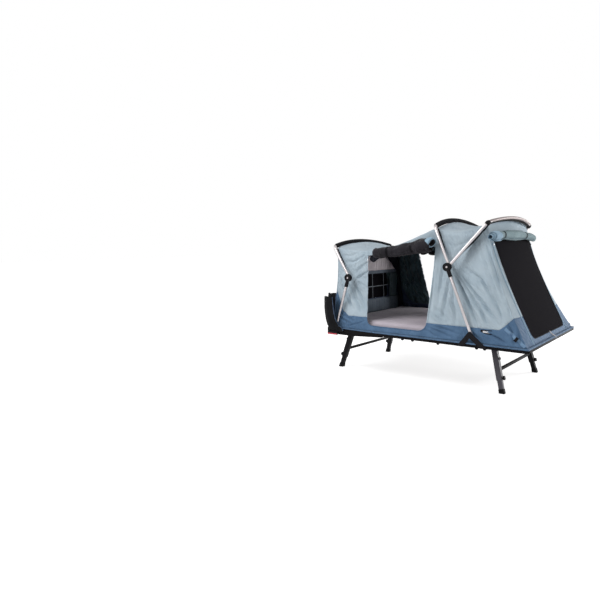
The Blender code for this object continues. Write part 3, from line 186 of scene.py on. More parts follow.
def uneven_gloss(tree, shader, factor, roughness, swing):
    """Lets the roughness swing a little both ways."""
    spread = add_node(
        tree, "MapRange",
        {"Value": factor, "From Min": 0.3, "From Max": 0.7,
         "To Min": roughness - swing, "To Max": roughness + swing},
    )
    tree.links.new(spread.outputs["Result"], shader.inputs["Roughness"])


def bump_over(tree, under, height, strength, distance):
    """A bump laid over the one under it."""
    inputs = {"Height": height, "Strength": strength, "Distance": distance}
    if under:
        inputs["Normal"] = under.outputs["Normal"]
    return add_node(tree, "Bump", inputs)


def bump_of_pleats(tree, place, under, strength):
    """Upright pleats with uneven spacing."""
    upright = add_node(
        tree, "TexWave",
        {"Vector": place["UV"], "Scale": 3.4, "Distortion": 9.0, "Detail": 2.0, "Detail Scale": 0.7},
        wave_type="BANDS", bands_direction="X",
    )
    return bump_over(tree, under, upright.outputs["Fac"], strength, 0.030)


def bump_of_drag(tree, place, under, strength):
    """Long slanting drag lines, as pulled cloth has, in patches."""
    pulled = add_node(
        tree, "Mapping",
        {"Vector": place["UV"], "Rotation": (0.0, 0.0, math.radians(-57.0)), "Scale": (0.24, 0.026, 1.0)},
        vector_type="TEXTURE",
    )
    lines = add_node(
        tree, "TexNoise",
        {"Vector": pulled.outputs["Vector"], "Scale": 1.0, "Detail": 2.0, "Roughness": 0.5, "Distortion": 0.6,
         "Offset": 1.0},
        noise_type="RIDGED_MULTIFRACTAL",
    )
    patches = add_node(tree, "TexNoise", {"Vector": place["UV"], "Scale": 3.2, "Detail": 1.0})
    patch = add_node(
        tree, "MapRange",
        {"Value": patches.outputs["Fac"], "From Min": 0.42, "From Max": 0.62,
         "To Min": 0.15, "To Max": strength},
    )
    return bump_over(tree, under, lines.outputs["Fac"], patch.outputs["Result"], 0.009)


def cloth_finish(name, colours, thread, roughness=0.82, weave=0.35, crinkle=0.25, sheen=0.12, rib=False,
                 shine=0.25, drag=0.0, pleats=0.0):
    """Woven cloth: threads both ways in the piece's own UV metres, creases of two sizes and soft patches."""
    tree, shader, place = start_finish(
        name, Roughness=roughness, Sheen_Weight=sheen, Sheen_Roughness=0.5, Specular_IOR_Level=shine
    )
    blotches(tree, shader, place, 7.0, colours)
    turns = 2 * math.pi / thread / 20
    along, across = (
        add_node(
            tree, "TexWave", {"Vector": place["UV"], "Scale": turns, "Distortion": 0.4, "Detail": 1.0},
            bands_direction=direction,
        ).outputs["Fac"]
        for direction in ("X", "Y")
    )
    woven = add_node(tree, "Math", {0: along, 1: 0.0 if rib else across}, operation="MAXIMUM")
    normal = bump_over(tree, None, woven.outputs[0], weave, thread * 0.4)
    for scale, distance in ((11.0, 0.016), (34.0, 0.005)):
        creases = add_node(
            tree, "TexNoise",
            {"Vector": place["Object"], "Scale": scale, "Detail": 4.0, "Roughness": 0.55, "Distortion": 1.1},
        )
        normal = bump_over(tree, normal, creases.outputs["Fac"], crinkle, distance)
    if pleats:
        normal = bump_of_pleats(tree, place, normal, pleats)
    if drag:
        normal = bump_of_drag(tree, place, normal, drag)
    tree.links.new(normal.outputs["Normal"], shader.inputs["Normal"])


def hard_finish(name, colours, grain, roughness, grain_depth, streak=None, **sockets):
    """A rigid surface: patches of colour, a grain in its bump and uneven gloss."""
    tree, shader, place = start_finish(name, Roughness=roughness, **sockets)
    vector = place["Object"]
    if streak:
        vector = add_node(tree, "Mapping", {"Vector": vector, "Scale": streak}).outputs["Vector"]
    blotches(tree, shader, place, 9.0, colours)
    fine = add_node(tree, "TexNoise", {"Vector": vector, "Scale": grain, "Detail": 3.0, "Roughness": 0.6})
    uneven_gloss(tree, shader, fine.outputs["Fac"], roughness, 0.07)
    normal = bump_over(tree, None, fine.outputs["Fac"], 0.4, grain_depth)
    tree.links.new(normal.outputs["Normal"], shader.inputs["Normal"])


def mesh_finish(name, colours, hole):
    """Knitted netting: open cells in rows, painted darker in the holes as painted shade of the dark inside
    seen through them.
    """
    tree, shader, place = start_finish(name, Roughness=1.0, Specular_IOR_Level=0.04)
    cells = add_node(
        tree, "TexVoronoi", {"Vector": place["UV"], "Scale": 1 / hole, "Randomness": 0.15}, feature="F1"
    )
    colour_between(tree, shader, cells.outputs["Distance"], colours, 0.25, 0.6)
    normal = bump_over(tree, None, cells.outputs["Distance"], 0.3, hole / 3)
    tree.links.new(normal.outputs["Normal"], shader.inputs["Normal"])


def tube_finish(name, colours, roughness):
    """Drawn and anodised tube: fine lines along it in the piece's own UV metres, and soft patches."""
    tree, shader, place = start_finish(name, Roughness=roughness, Metallic=1.0)
    blotches(tree, shader, place, 5.0, colours)
    drawn = add_node(tree, "Mapping", {"Vector": place["UV"], "Scale": (900.0, 6.0, 1.0)})
    lines = add_node(tree, "TexNoise", {"Vector": drawn.outputs["Vector"], "Scale": 1.0, "Detail": 2.0})
    uneven_gloss(tree, shader, lines.outputs["Fac"], roughness, 0.05)
    normal = bump_over(tree, None, lines.outputs["Fac"], 0.15, 0.00003)
    tree.links.new(normal.outputs["Normal"], shader.inputs["Normal"])


# Coated polyester taffeta, about 30 threads a centimetre: matt, faintly crinkled. Its threads are drawn
# ten times coarser, so that they show.
TAFFETA = 0.0035
cloth_finish("canopy_polyester", ("#A6B7C3", "#B4C3CD"), TAFFETA, crinkle=0.42, drag=0.55)
# Heavier coated polyester of the lower walls: deeper blue, a little glossier.
cloth_finish("tub_polyester", ("#496685", "#597899"), TAFFETA, roughness=0.72, crinkle=0.5, drag=0.65)
# Polyurethane coating on the inside of the walls: dark, with a dull shine along its folds.
cloth_finish("dark_lining", ("#3C5158", "#566E76"), TAFFETA, roughness=0.5, crinkle=0.7, pleats=0.9)
# The inside of the coated lower band.
cloth_finish("tub_inside", ("#3A4660", "#4C5A76"), TAFFETA, roughness=0.5, crinkle=0.7)
# The same coating on the dark side of the rolled doors: near black, with a violet cast.
cloth_finish("roll_polyester", ("#151318", "#201D24"), TAFFETA, roughness=0.7, crinkle=0.9, shine=0.15)
# Canopy cloth of the rolled foot door, which dirt and shade leave greener.
cloth_finish("foot_roll_polyester", ("#6F868C", "#7F969C"), TAFFETA, crinkle=0.6)
# The pale inner face of the rolled doors.
cloth_finish("roll_inside", ("#8CA9BE", "#9DB9CB"), TAFFETA, crinkle=0.4)
# Brushed knit of the mattress cover: pale mauve grey, soft.
cloth_finish("mattress_knit", ("#BEB5C0", "#CAC1CA"), 0.004, roughness=0.92, crinkle=0.12)
# Loose taffeta of the curtain above the window, unlined; its pale colour is partly its own and partly painted
# light, for daylight shining through the thin cloth.
cloth_finish("valance_polyester", ("#E2D7DC", "#ECE3E7"), TAFFETA)
# Bands sewn round the hitch window, and the darker cloth beside it.
cloth_finish("inner_band", ("#5F6A77", "#77828F"), TAFFETA, crinkle=0.4)
cloth_finish("inner_lining", ("#3D4C52", "#53636A"), TAFFETA, roughness=0.55, crinkle=0.6)
# Ribbed tape over the window's seams.
cloth_finish("inner_rib", ("#7C848B", "#8D959C"), 0.003, weave=0.6, crinkle=0.0, rib=True)
# Heavy coated polyester of the travel cover: matt black, softly dented.
cloth_finish(
    "cover_polyester", ("#0E0E10", "#161618"), 0.004, roughness=0.8, crinkle=0.45, shine=0.1, sheen=0.0
)
# Flat woven webbing with ribs about 1.5 mm apart, drawn at twice that.
cloth_finish("blue_webbing", ("#6B8BAD", "#7C9CBC"), 0.003, weave=0.7, crinkle=0.0, rib=True)
cloth_finish(
    "black_webbing", ("#0E0D10", "#17161A"), 0.003, weave=0.7, crinkle=0.0, rib=True, shine=0.12, sheen=0.0
)
cloth_finish("grey_webbing", ("#A9A9AE", "#BDBDC2"), 0.003, weave=0.7, crinkle=0.0, rib=True)
# Navy tape that binds the edge of the cover's flaps.
cloth_finish("cover_binding", ("#33435A", "#40526C"), 0.003, weave=0.6, crinkle=0.0, rib=True)
# Polyester netting, holes about 1 mm, drawn at 3 mm so that they show.
mesh_finish("insect_mesh", ("#17151A", "#0C0B0E"), 0.003)
# The finer netting of the side doors, drawn aside and gathered.
mesh_finish("netting", ("#2B2C33", "#18191D"), 0.002)
# Anodised aluminium tube: satin, drawn lengthwise, so its gloss streaks along it.
tube_finish("anodised_tube", ("#B7B1B2", "#C3BDBE"), 0.33)
# The crown of the foot hoop: the same tube, rougher than its legs, with its colour darkened as painted shade.
tube_finish("painted_shade_tube", ("#857C7B", "#918887"), 0.55)
# Zinc plating with a faint spangle.
hard_finish("zinc_plated", ("#9A9CA0", "#B0B2B5"), 180.0, 0.35, 0.00005, Metallic=1.0)
# Powder-coated steel: an orange-peel grain about 1 mm wide, satin black.
hard_finish("powder_coated_steel", ("#070608", "#0D0C0F"), 700.0, 0.5, 0.0002, Specular_IOR_Level=0.07)
# Powder-coated aluminium of the legs: dark violet grey that catches light on its flat faces; this is the lit
# copy, for the near foot leg.
hard_finish("leg_coating", ("#37343D", "#46424C"), 700.0, 0.36, 0.0002)
# The same coating darkened to near black as painted shade, for the legs that stand in the shade of the tent
# and the vehicle.
hard_finish("painted_shade_leg_coating", ("#0B0A0D", "#141317"), 700.0, 0.42, 0.0002, Specular_IOR_Level=0.1)
# Glass-filled nylon: spark-eroded grain under 1 mm, matt black.
hard_finish("moulded_nylon", ("#0B0A0D", "#141217"), 900.0, 0.52, 0.00025, Specular_IOR_Level=0.12)
# Hard rubber of the foot caps: dull black.
hard_finish("moulded_rubber", ("#0B0B0C", "#131315"), 600.0, 0.75, 0.0002, Specular_IOR_Level=0.15)
# Film-faced plywood: dark brown phenol film with the grain just telegraphing through.
hard_finish("film_faced_plywood", ("#2A211D", "#3A2E28"), 60.0, 0.42, 0.0003, streak=(1.0, 12.0, 12.0))
# Clear red acrylic of the marker lamp.
hard_finish("red_acrylic", ("#B0182A", "#C8203A"), 300.0, 0.18, 0.0001, Coat_Weight=0.6)
# Pale moulded centre of the patch on the lower wall.
hard_finish("pale_patch", ("#D6D6D8", "#E4E4E6"), 500.0, 0.6, 0.0001)

# Ways of modelling that all the pieces share


def fold_with_frame(obj):
    """Gives the fabric, and each piece sewn to it, a mesh of its own."""
    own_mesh(obj)


def finish_piece(obj, finish, body="platform", replaces=(), squash=False, more=()):
    """Gives a piece its materials, the body it rides on and the CAD nodes it stands for."""
    obj.data.materials.clear()
    for name in (finish, *more):
        obj.data.materials.append(FINISHES[name])
    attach(obj, body)
    if replaces:
        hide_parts(*replaces)
    if squash:
        fold_with_frame(obj)


def new_object(name, mesh):
    obj = bpy.data.objects.new(name, mesh)
    bpy.context.scene.collection.objects.link(obj)
    return obj


def choose(obj):
    """Makes one object the only selected and active one."""
    bpy.ops.object.select_all(action="DESELECT")
    obj.select_set(True)
    bpy.context.view_layer.objects.active = obj


def apply_modifier(obj, kind, **settings):
    modifier = obj.modifiers.new(kind.lower(), kind)
    for name, value in settings.items():
        setattr(modifier, name, value)
    choose(obj)
    bpy.ops.object.modifier_apply(modifier=modifier.name)


def smooth_by_angle(obj, angle):
    choose(obj)
    bpy.ops.object.shade_smooth_by_angle(angle=math.radians(angle))


def rounded(obj, width, segments, angle=32):
    """Bevels a rigid piece's edges and shades it."""
    apply_modifier(
        obj, "BEVEL", width=width, segments=segments, limit_method="ANGLE", angle_limit=math.radians(angle),
        harden_normals=False, use_clamp_overlap=True,
    )
    smooth_by_angle(obj, 40)


def add_block(name, low, high):
    """A box at its size and place, ready to be shaped."""
    bpy.ops.object.select_all(action="DESELECT")
    low, high = Vector(low), Vector(high)
    bpy.ops.mesh.primitive_cube_add(size=1.0, location=(low + high) / 2)
    obj = bpy.context.object
    obj.name = obj.data.name = name
    obj.scale = high - low
    bpy.ops.object.transform_apply(location=True, rotation=True, scale=True)
    return obj


def add_round(name, start, end, radius, sides):
    """A round bar between two points, ready to be shaped."""
    bpy.ops.object.select_all(action="DESELECT")
    start, end = Vector(start), Vector(end)
    run = end - start
    bpy.ops.mesh.primitive_cylinder_add(
        vertices=sides, radius=radius, depth=run.length, location=(start + end) / 2,
        rotation=run.to_track_quat("Z", "Y").to_euler(),
    )
    obj = bpy.context.object
    obj.name = obj.data.name = name
    bpy.ops.object.transform_apply(location=True, rotation=True, scale=True)
    return obj


def edit_faces(obj, test):
    """Enters edit mode with only the faces that pass the test selected."""
    choose(obj)
    bpy.ops.object.mode_set(mode="EDIT")
    bpy.ops.mesh.select_mode(type="FACE")
    bpy.ops.mesh.select_all(action="DESELECT")
    bm = bmesh.from_edit_mesh(obj.data)
    for face in bm.faces:
        if test(face.calc_center_median(), face.normal):
            face.select = True
    bmesh.update_edit_mesh(obj.data)


def leave_edit():
    bpy.ops.object.mode_set(mode="OBJECT")


def inset_and_push(obj, test, inset, push):
    """Insets the chosen faces and pushes the new inner faces in or out."""
    edit_faces(obj, test)
    bpy.ops.mesh.inset(thickness=inset, depth=0.0)
    bpy.ops.mesh.extrude_region_shrink_fatten(TRANSFORM_OT_shrink_fatten={"value": push})
    leave_edit()


def clean_copy(node, name):
    """A copy of a CAD node's mesh with its doubled points merged."""
    obj = new_object(name, nodes[node].data.copy())
    bm = bmesh.new()
    bm.from_mesh(obj.data)
    bmesh.ops.remove_doubles(bm, verts=bm.verts, dist=0.00002)
    bm.to_mesh(obj.data)
    bm.free()
    return obj


def refined(node, finish, edge, segments=2):
    """A CAD node's own shape with merged points, rounded edges and a detailed material."""
    obj = clean_copy(node, node + "_piece")
    bm = bmesh.new()
    bm.from_mesh(obj.data)
    bmesh.ops.dissolve_limit(bm, angle_limit=math.radians(1.5), verts=bm.verts, edges=bm.edges)
    bm.to_mesh(obj.data)
    bm.free()
    for attribute in list(obj.data.attributes):
        if attribute.name.startswith("custom_normal"):
            obj.data.attributes.remove(attribute)
    if edge:
        rounded(obj, edge, segments)
    else:
        smooth_by_angle(obj, 40)
    finish_piece(obj, finish, nodes[node]["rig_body"], replaces=(node,))


def running_lengths(places):
    """How far along a line each of its places lies."""
    runs = [0.0]
    for a, b in zip(places, places[1:]):
        runs.append(runs[-1] + math.dist(a, b))
    return runs


def grid_sheet(name, rows, flipped=False):
    """One layer of cloth through rows of places, each with its UV; gives the object and its area."""
    bm = bmesh.new()
    uv_layer = bm.loops.layers.uv.new("UVMap")
    grid = [[(bm.verts.new(place), uv) for place, uv in row] for row in rows]
    for low, high in zip(grid, grid[1:]):
        for index in range(len(low) - 1):
            corners = [low[index], low[index + 1], high[index + 1], high[index]]
            if flipped:
                corners = [corners[0], *reversed(corners[1:])]
            face = bm.faces.new([vert for vert, _ in corners])
            face.smooth = True
            for loop, (_, uv) in zip(face.loops, corners):
                loop[uv_layer].uv = uv
    mesh = bpy.data.meshes.new(name)
    bm.to_mesh(mesh)
    bm.free()
    return new_object(name, mesh), sum(polygon.area for polygon in mesh.polygons)


def with_uv(grid, runs, heights):
    """Pairs each place of a grid with its run along the sheet and the height of its row."""
    return [[(place, (run, height)) for place, run in zip(line, runs)] for line, height in zip(grid, heights)]


def sweep(name, points, outline, sides, closed=False, scales=None):
    """A solid of one outline carried along points; sides gives the outline's first axis at each point."""
    count, ring = len(points), len(outline)
    points = [Vector(p) for p in points]
    bm = bmesh.new()
    uv_layer = bm.loops.layers.uv.new("UVMap")
    rings = []
    for index, point in enumerate(points):
        before = points[index - 1] if index or closed else point
        after = points[(index + 1) % count] if index < count - 1 or closed else point
        along = (after - before).normalized()
        side = Vector(sides[index] if isinstance(sides, list) else sides)
        side = (side - along * side.dot(along)).normalized()
        up = along.cross(side)
        scale = scales[index] if scales else 1.0
        rings.append([bm.verts.new(point + (side * a + up * b) * scale) for a, b in outline])
    runs = running_lengths(points + points[:1])
    girth = running_lengths(outline + outline[:1])
    for index in range(count if closed else count - 1):
        low, high = rings[index], rings[(index + 1) % count]
        for step in range(ring):
            following = (step + 1) % ring
            face = bm.faces.new((low[step], low[following], high[following], high[step]))
            for loop, uv in zip(face.loops, (
                (girth[step], runs[index]), (girth[step + 1], runs[index]),
                (girth[step + 1], runs[index + 1]), (girth[step], runs[index + 1]),
            )):
                loop[uv_layer].uv = uv
    if not closed:
        bm.faces.new(list(reversed(rings[0])))
        bm.faces.new(rings[-1])
    bmesh.ops.recalc_face_normals(bm, faces=bm.faces)
    mesh = bpy.data.meshes.new(name)
    bm.to_mesh(mesh)
    bm.free()
    obj = new_object(name, mesh)
    smooth_by_angle(obj, 45)
    return obj


def circle_outline(radius, count, start=0.0, end=360.0):
    """Points round a circle, or round its stretch between two angles with both ends."""
    steps = count if end - start == 360.0 else count - 1
    angles = [math.radians(start + (end - start) * i / steps) for i in range(count)]
    return [(radius * math.cos(angle), radius * math.sin(angle)) for angle in angles]


def rounded_outline(width, height, radius):
    """A rounded rectangle round its middle."""
    x, y = width / 2 - radius, height / 2 - radius
    points = []
    for cx, cy, start in ((x, y, 0), (-x, y, 90), (-x, -y, 180), (x, -y, 270)):
        points += arc_points((cx, cy), radius, start, start + 90, 2)
    return points


def arc_points(centre, radius, start, end, steps):
    """Points along an arc, from one angle to the other."""
    angles = [math.radians(start + (end - start) * i / steps) for i in range(steps + 1)]
    return [(centre[0] + radius * math.cos(angle), centre[1] + radius * math.sin(angle)) for angle in angles]


# Lines that the fabric follows

EAVE_BELOW_CORNER = 0.020
EAVE_BELOW_MIDDLE_CORNER = 0.027
EAVE_INSIDE_HOOP = 0.0235


def eave_end(hoop, along, below=EAVE_BELOW_CORNER):
    """Where the eave meets a hoop, a little along and below from the hoop's corner."""
    x, z = HOOPS[hoop]["corner"]
    return (x + along, z - below)


EAVE_HITCH = eave_end("hitch_hoop", EAVE_INSIDE_HOOP)
EAVE_MIDDLE = eave_end("middle_hoop", 0.0, EAVE_BELOW_MIDDLE_CORNER)
EAVE_FOOT = eave_end("foot_hoop", -EAVE_INSIDE_HOOP)


def along_span(start, end, share, value):
    return (start[0] + (end[0] - start[0]) * share, value)


def sagging_span(start, end, sags):
    inner = [
        along_span(start, end, share, start[1] + (end[1] - start[1]) * share - sag) for share, sag in sags
    ]
    return [start] + inner + [end]


EAVE_SPANS = (
    sagging_span(EAVE_HITCH, EAVE_MIDDLE, [(0.26, 0.075), (0.49, 0.096), (0.74, 0.061)]),
    sagging_span(EAVE_MIDDLE, EAVE_FOOT, [(0.50, 0.045)]),
)
CROWN_RISES = (
    ((0, 0.062), (0.26, 0.034), (0.49, 0.030), (0.74, 0.034), (1, 0.072)),
    ((0, 0.072), (0.5, 0.060), (1, 0.052)),
)
CROWN_SPANS = [
    [along_span(start, end, share, rise) for share, rise in rises]
    for start, end, rises in zip((EAVE_HITCH, EAVE_MIDDLE), (EAVE_MIDDLE, EAVE_FOOT), CROWN_RISES)
]
EAVE_HALF_WIDTHS = [(EAVE_HITCH[0], 0.559), (EAVE_MIDDLE[0], 0.530), (EAVE_FOOT[0], 0.551)]
EAVE_PLACES = [
    (FABRIC_HITCH_X, EAVE_HITCH[0]), (-0.50, -0.50), (0.495, 0.495), (FABRIC_FOOT_X, EAVE_FOOT[0]),
]
SKIRT_HEIGHTS = [
    (FABRIC_HITCH_X, SKIRT_HEIGHT_HITCH), (-0.722, 0.172), (-0.640, 0.126), (0.905, 0.126), (1.000, 0.177),
    (FABRIC_FOOT_X, SKIRT_HEIGHT_FOOT),
]
DOOR_FOOT_EDGE = EAVE_MIDDLE[0] + 0.017
DOOR_HITCH_EDGE = DOOR_FOOT_EDGE - 0.620
DOOR_EDGE_SLANT = 0.090
DOOR_SILL = FABRIC_BOTTOM + 0.048
DOOR_HEAD_HITCH = FABRIC_BOTTOM + 0.724
DOOR_HEAD_FOOT = FABRIC_BOTTOM + 0.814


def interpolate(table, x):
    for (x0, v0), (x1, v1) in zip(table, table[1:]):
        if x <= x1:
            return v0 + (v1 - v0) * max(0.0, (x - x0) / (x1 - x0))
    return table[-1][1]


def through(points, x):
    """The one smooth curve through all the points, read at x."""
    total = 0.0
    for i, (xi, value) in enumerate(points):
        for j, (xj, _) in enumerate(points):
            if i != j:
                value *= (x - xj) / (xi - xj)
        total += value
    return total


def in_spans(spans, x):
    return through(spans[0] if x <= EAVE_MIDDLE[0] else spans[1], min(max(x, EAVE_HITCH[0]), EAVE_FOOT[0]))


def corner_pull(distance, sign):
    """How the cloth rounds the foot corners instead of standing out to a sharp edge."""
    return Vector((-0.024, -sign * 0.034, 0)) * math.exp(-(distance / 0.11) ** 2)


def hitch_corner_pull(distance):
    """How the hitch corners' seams bow inwards between the hoop and the platform."""
    return Vector((0.042, 0, 0)) * math.exp(-(distance / 0.15) ** 2)


def side_column(foot_x, sign):
    """Foot, head, inward sag and skirt height of one column of a side wall."""
    eave_x = interpolate(EAVE_PLACES, foot_x)
    foot = Vector((foot_x, sign * FABRIC_HALF_WIDTH, FABRIC_BOTTOM))
    head = Vector((eave_x, sign * interpolate(EAVE_HALF_WIDTHS, eave_x), in_spans(EAVE_SPANS, eave_x)))
    share = (foot_x - FABRIC_HITCH_X) / (FABRIC_FOOT_X - FABRIC_HITCH_X)
    share = min(max(share, 0.0), 1.0)
    sag = Vector((-FOOT_WALL_SAG * share**6, -sign * WALL_SAG * math.sin(math.pi * share), 0))
    sag += corner_pull(FABRIC_FOOT_X - foot_x, sign) + hitch_corner_pull(foot_x - FABRIC_HITCH_X)
    return foot, head, sag, interpolate(SKIRT_HEIGHTS, foot_x)


def end_column(across, at_foot):
    """Foot, head, inward sag and skirt height of one column of an end wall."""
    eave_x = EAVE_FOOT[0] if at_foot else EAVE_HITCH[0]
    foot = Vector((FABRIC_FOOT_X if at_foot else FABRIC_HITCH_X, across * FABRIC_HALF_WIDTH, FABRIC_BOTTOM))
    rise = in_spans(CROWN_SPANS, eave_x) * (1 - across**2)
    head = Vector((
        eave_x, across * interpolate(EAVE_HALF_WIDTHS, eave_x), in_spans(EAVE_SPANS, eave_x) + rise
    ))
    sag = Vector((-FOOT_WALL_SAG if at_foot else 0.0, 0, 0))
    if at_foot:
        sag += corner_pull((1 - abs(across)) * FABRIC_HALF_WIDTH, 1 if across > 0 else -1)
    else:
        sag += hitch_corner_pull((1 - abs(across)) * FABRIC_HALF_WIDTH)
    return foot, head, sag, SKIRT_HEIGHT_FOOT if at_foot else SKIRT_HEIGHT_HITCH


def column_of(wall, u):
    if wall in SIDES:
        return side_column(u, SIDES[wall])
    return end_column(u, wall == "foot")


def wall_point(column, height_share):
    foot, head, sag, _ = column
    return foot.lerp(head, height_share) + sag * math.sin(math.pi * height_share)


def on_wall(wall, u, z):
    """The wall's surface where its long coordinate is u (x on the sides, y on the ends) and its height z."""
    guess = u if wall in SIDES else u / FABRIC_HALF_WIDTH
    for _ in range(10):
        column = column_of(wall, guess)
        share = (z - column[0].z) / (column[1].z - column[0].z)
        place = wall_point(column, share)
        if wall in SIDES:
            guess += u - place.x
        else:
            guess += (u - place.y) / FABRIC_HALF_WIDTH
    return place


OUTWARD = {
    "near": Vector((0, -1, 0)), "far": Vector((0, 1, 0)),
    "foot": Vector((1, 0, 0)), "hitch": Vector((-1, 0, 0)),
}

# Folds of a side wall: points in X and Z, width, depth (below 0 it runs outward). They fan from the hubs
# and the door's corners, where the frame and the zip pull the cloth.
SIDE_FOLDS = [
    ([(0.405, 1.050), (0.500, 0.915), (0.575, 0.790), (0.655, 0.650), (0.700, 0.560)], 0.021, 0.019),
    ([(0.430, 1.060), (0.560, 0.905), (0.650, 0.780), (0.760, 0.640), (0.800, 0.600)], 0.016, 0.011),
    ([(0.449, 1.063), (0.591, 0.913), (0.706, 0.802), (0.830, 0.662), (0.880, 0.610)], 0.018, 0.015),
    ([(0.508, 1.108), (0.669, 1.002), (0.798, 0.816), (0.895, 0.667)], 0.020, 0.012),
    ([(0.522, 0.893), (0.607, 0.761), (0.708, 0.618)], 0.012, 0.008),
    ([(0.595, 0.871), (0.676, 0.766), (0.759, 0.622)], 0.011, 0.008),
    ([(0.682, 1.298), (0.804, 1.007), (0.940, 0.704)], 0.022, 0.007),
    ([(0.643, 1.256), (0.754, 1.005), (0.857, 0.803)], 0.016, 0.005),
    ([(0.735, 1.240), (0.850, 0.960), (0.965, 0.650)], 0.013, 0.006),
    ([(0.770, 1.180), (0.872, 0.905), (0.960, 0.640)], 0.010, 0.004),
    ([(0.800, 1.150), (0.905, 0.880), (1.000, 0.680)], 0.014, 0.006),
    ([(0.835, 1.060), (0.930, 0.830), (1.010, 0.660)], 0.010, 0.004),
    ([(0.600, 1.330), (0.700, 1.090), (0.780, 0.900)], 0.012, 0.003),
    ([(0.725, 0.980), (0.840, 0.760), (0.905, 0.610)], 0.011, 0.006),
    ([(0.210, 1.180), (0.220, 0.900), (0.235, 0.620)], 0.014, 0.004),
    ([(0.262, 1.230), (0.252, 1.000), (0.258, 0.760)], 0.012, 0.003),
    ([(0.330, 1.080), (0.318, 0.860), (0.300, 0.640)], 0.012, 0.004),
    ([(0.372, 1.040), (0.357, 0.813), (0.349, 0.620)], 0.024, 0.010),
    ([(0.388, 1.000), (0.434, 0.775), (0.497, 0.615)], 0.020, 0.010),
    ([(0.307, 1.255), (0.294, 0.943), (0.281, 0.631)], 0.028, 0.007),
    ([(0.225, 0.698), (0.308, 0.643), (0.406, 0.607)], 0.013, 0.006),
    ([(0.227, 0.761), (0.341, 0.689), (0.442, 0.619)], 0.013, 0.006),
    ([(0.228, 0.655), (0.290, 0.622), (0.370, 0.598)], 0.009, 0.005),
    ([(0.220, 0.564), (0.359, 0.524), (0.475, 0.484)], 0.012, 0.006),
    ([(0.257, 0.581), (0.403, 0.555), (0.544, 0.517)], 0.013, 0.006),
    ([(0.193, 0.543), (0.287, 0.500), (0.350, 0.475)], 0.010, 0.005),
    ([(0.695, 0.575), (0.843, 0.532), (0.953, 0.487)], 0.014, 0.007),
    ([(0.760, 0.572), (0.880, 0.515), (0.940, 0.478)], 0.010, 0.005),
    ([(0.560, 0.580), (0.640, 0.545), (0.730, 0.490)], 0.011, 0.005),
    ([(0.975, 0.700), (1.012, 0.600), (1.045, 0.478)], 0.013, 0.012),
    ([(1.005, 0.700), (1.045, 0.600), (1.072, 0.485)], 0.011, 0.010),
    ([(0.925, 0.650), (0.970, 0.570), (1.008, 0.476)], 0.013, 0.010),
    ([(-0.635, 0.911), (-0.550, 0.807), (-0.450, 0.666)], 0.022, 0.016),
    ([(-0.650, 0.900), (-0.586, 0.790), (-0.500, 0.640)], 0.019, 0.014),
    ([(-0.724, 0.938), (-0.605, 0.774), (-0.490, 0.615)], 0.021, 0.015),
    ([(-0.795, 0.914), (-0.674, 0.750), (-0.587, 0.636)], 0.021, 0.014),
    ([(-0.818, 0.995), (-0.724, 0.847), (-0.643, 0.702)], 0.018, 0.010),
    ([(-0.478, 1.153), (-0.553, 1.103), (-0.639, 1.031)], 0.017, 0.009),
    ([(-0.477, 1.055), (-0.563, 0.994), (-0.628, 0.951)], 0.016, 0.009),
    ([(-0.480, 1.120), (-0.570, 1.070), (-0.650, 1.000)], 0.012, 0.006),
    ([(-0.543, 1.202), (-0.676, 1.130), (-0.787, 1.128)], 0.018, 0.006),
    ([(-0.600, 1.240), (-0.720, 1.190), (-0.820, 1.190)], 0.015, 0.004),
    ([(-0.820, 0.600), (-0.720, 0.560), (-0.600, 0.510)], 0.013, 0.006),
    ([(-0.800, 0.650), (-0.690, 0.590), (-0.560, 0.540)], 0.012, 0.005),
    ([(-0.440, 0.560), (-0.540, 0.520), (-0.640, 0.490)], 0.012, 0.005),
    ([(0.231, 1.417), (0.466, 1.400), (0.674, 1.440)], 0.018, 0.005),
    ([(0.268, 1.344), (0.389, 1.281), (0.546, 1.342)], 0.022, 0.004),
    ([(0.360, 1.180), (0.300, 1.300), (0.240, 1.390)], 0.016, -0.007),
    ([(0.400, 1.180), (0.520, 1.310), (0.640, 1.420)], 0.016, -0.007),
    ([(-0.680, 1.010), (-0.760, 1.110), (-0.850, 1.220)], 0.016, -0.006),
]
END_FOLDS = {
    "foot": [
        ([(-0.560, 1.260), (-0.620, 0.960), (-0.700, 0.560)], 0.014, 0.004),
        ([(0.560, 1.260), (0.620, 0.960), (0.700, 0.560)], 0.014, 0.004),
        ([(-0.480, 1.455), (-0.300, 1.440), (-0.100, 1.470)], 0.014, 0.004),
        ([(0.480, 1.455), (0.300, 1.440), (0.100, 1.470)], 0.014, 0.004),
        ([(-0.700, 0.500), (-0.620, 0.560), (-0.560, 0.680)], 0.012, 0.004),
        ([(0.700, 0.500), (0.620, 0.560), (0.560, 0.680)], 0.012, 0.004),
    ],
    "hitch": [
        ([(-0.500, 1.230), (-0.560, 1.000), (-0.640, 0.700)], 0.020, 0.006),
        ([(0.500, 1.230), (0.560, 1.000), (0.640, 0.700)], 0.020, 0.006),
        ([(-0.300, 1.260), (-0.340, 1.100), (-0.400, 0.990)], 0.016, 0.005),
        ([(0.300, 1.260), (0.340, 1.100), (0.400, 0.990)], 0.016, 0.005),
        ([(0.000, 1.290), (0.020, 1.120), (0.000, 1.000)], 0.016, 0.005),
        ([(-0.600, 0.500), (-0.500, 0.580), (-0.440, 0.680)], 0.016, 0.005),
        ([(0.600, 0.500), (0.500, 0.580), (0.440, 0.680)], 0.016, 0.005),
    ],
}


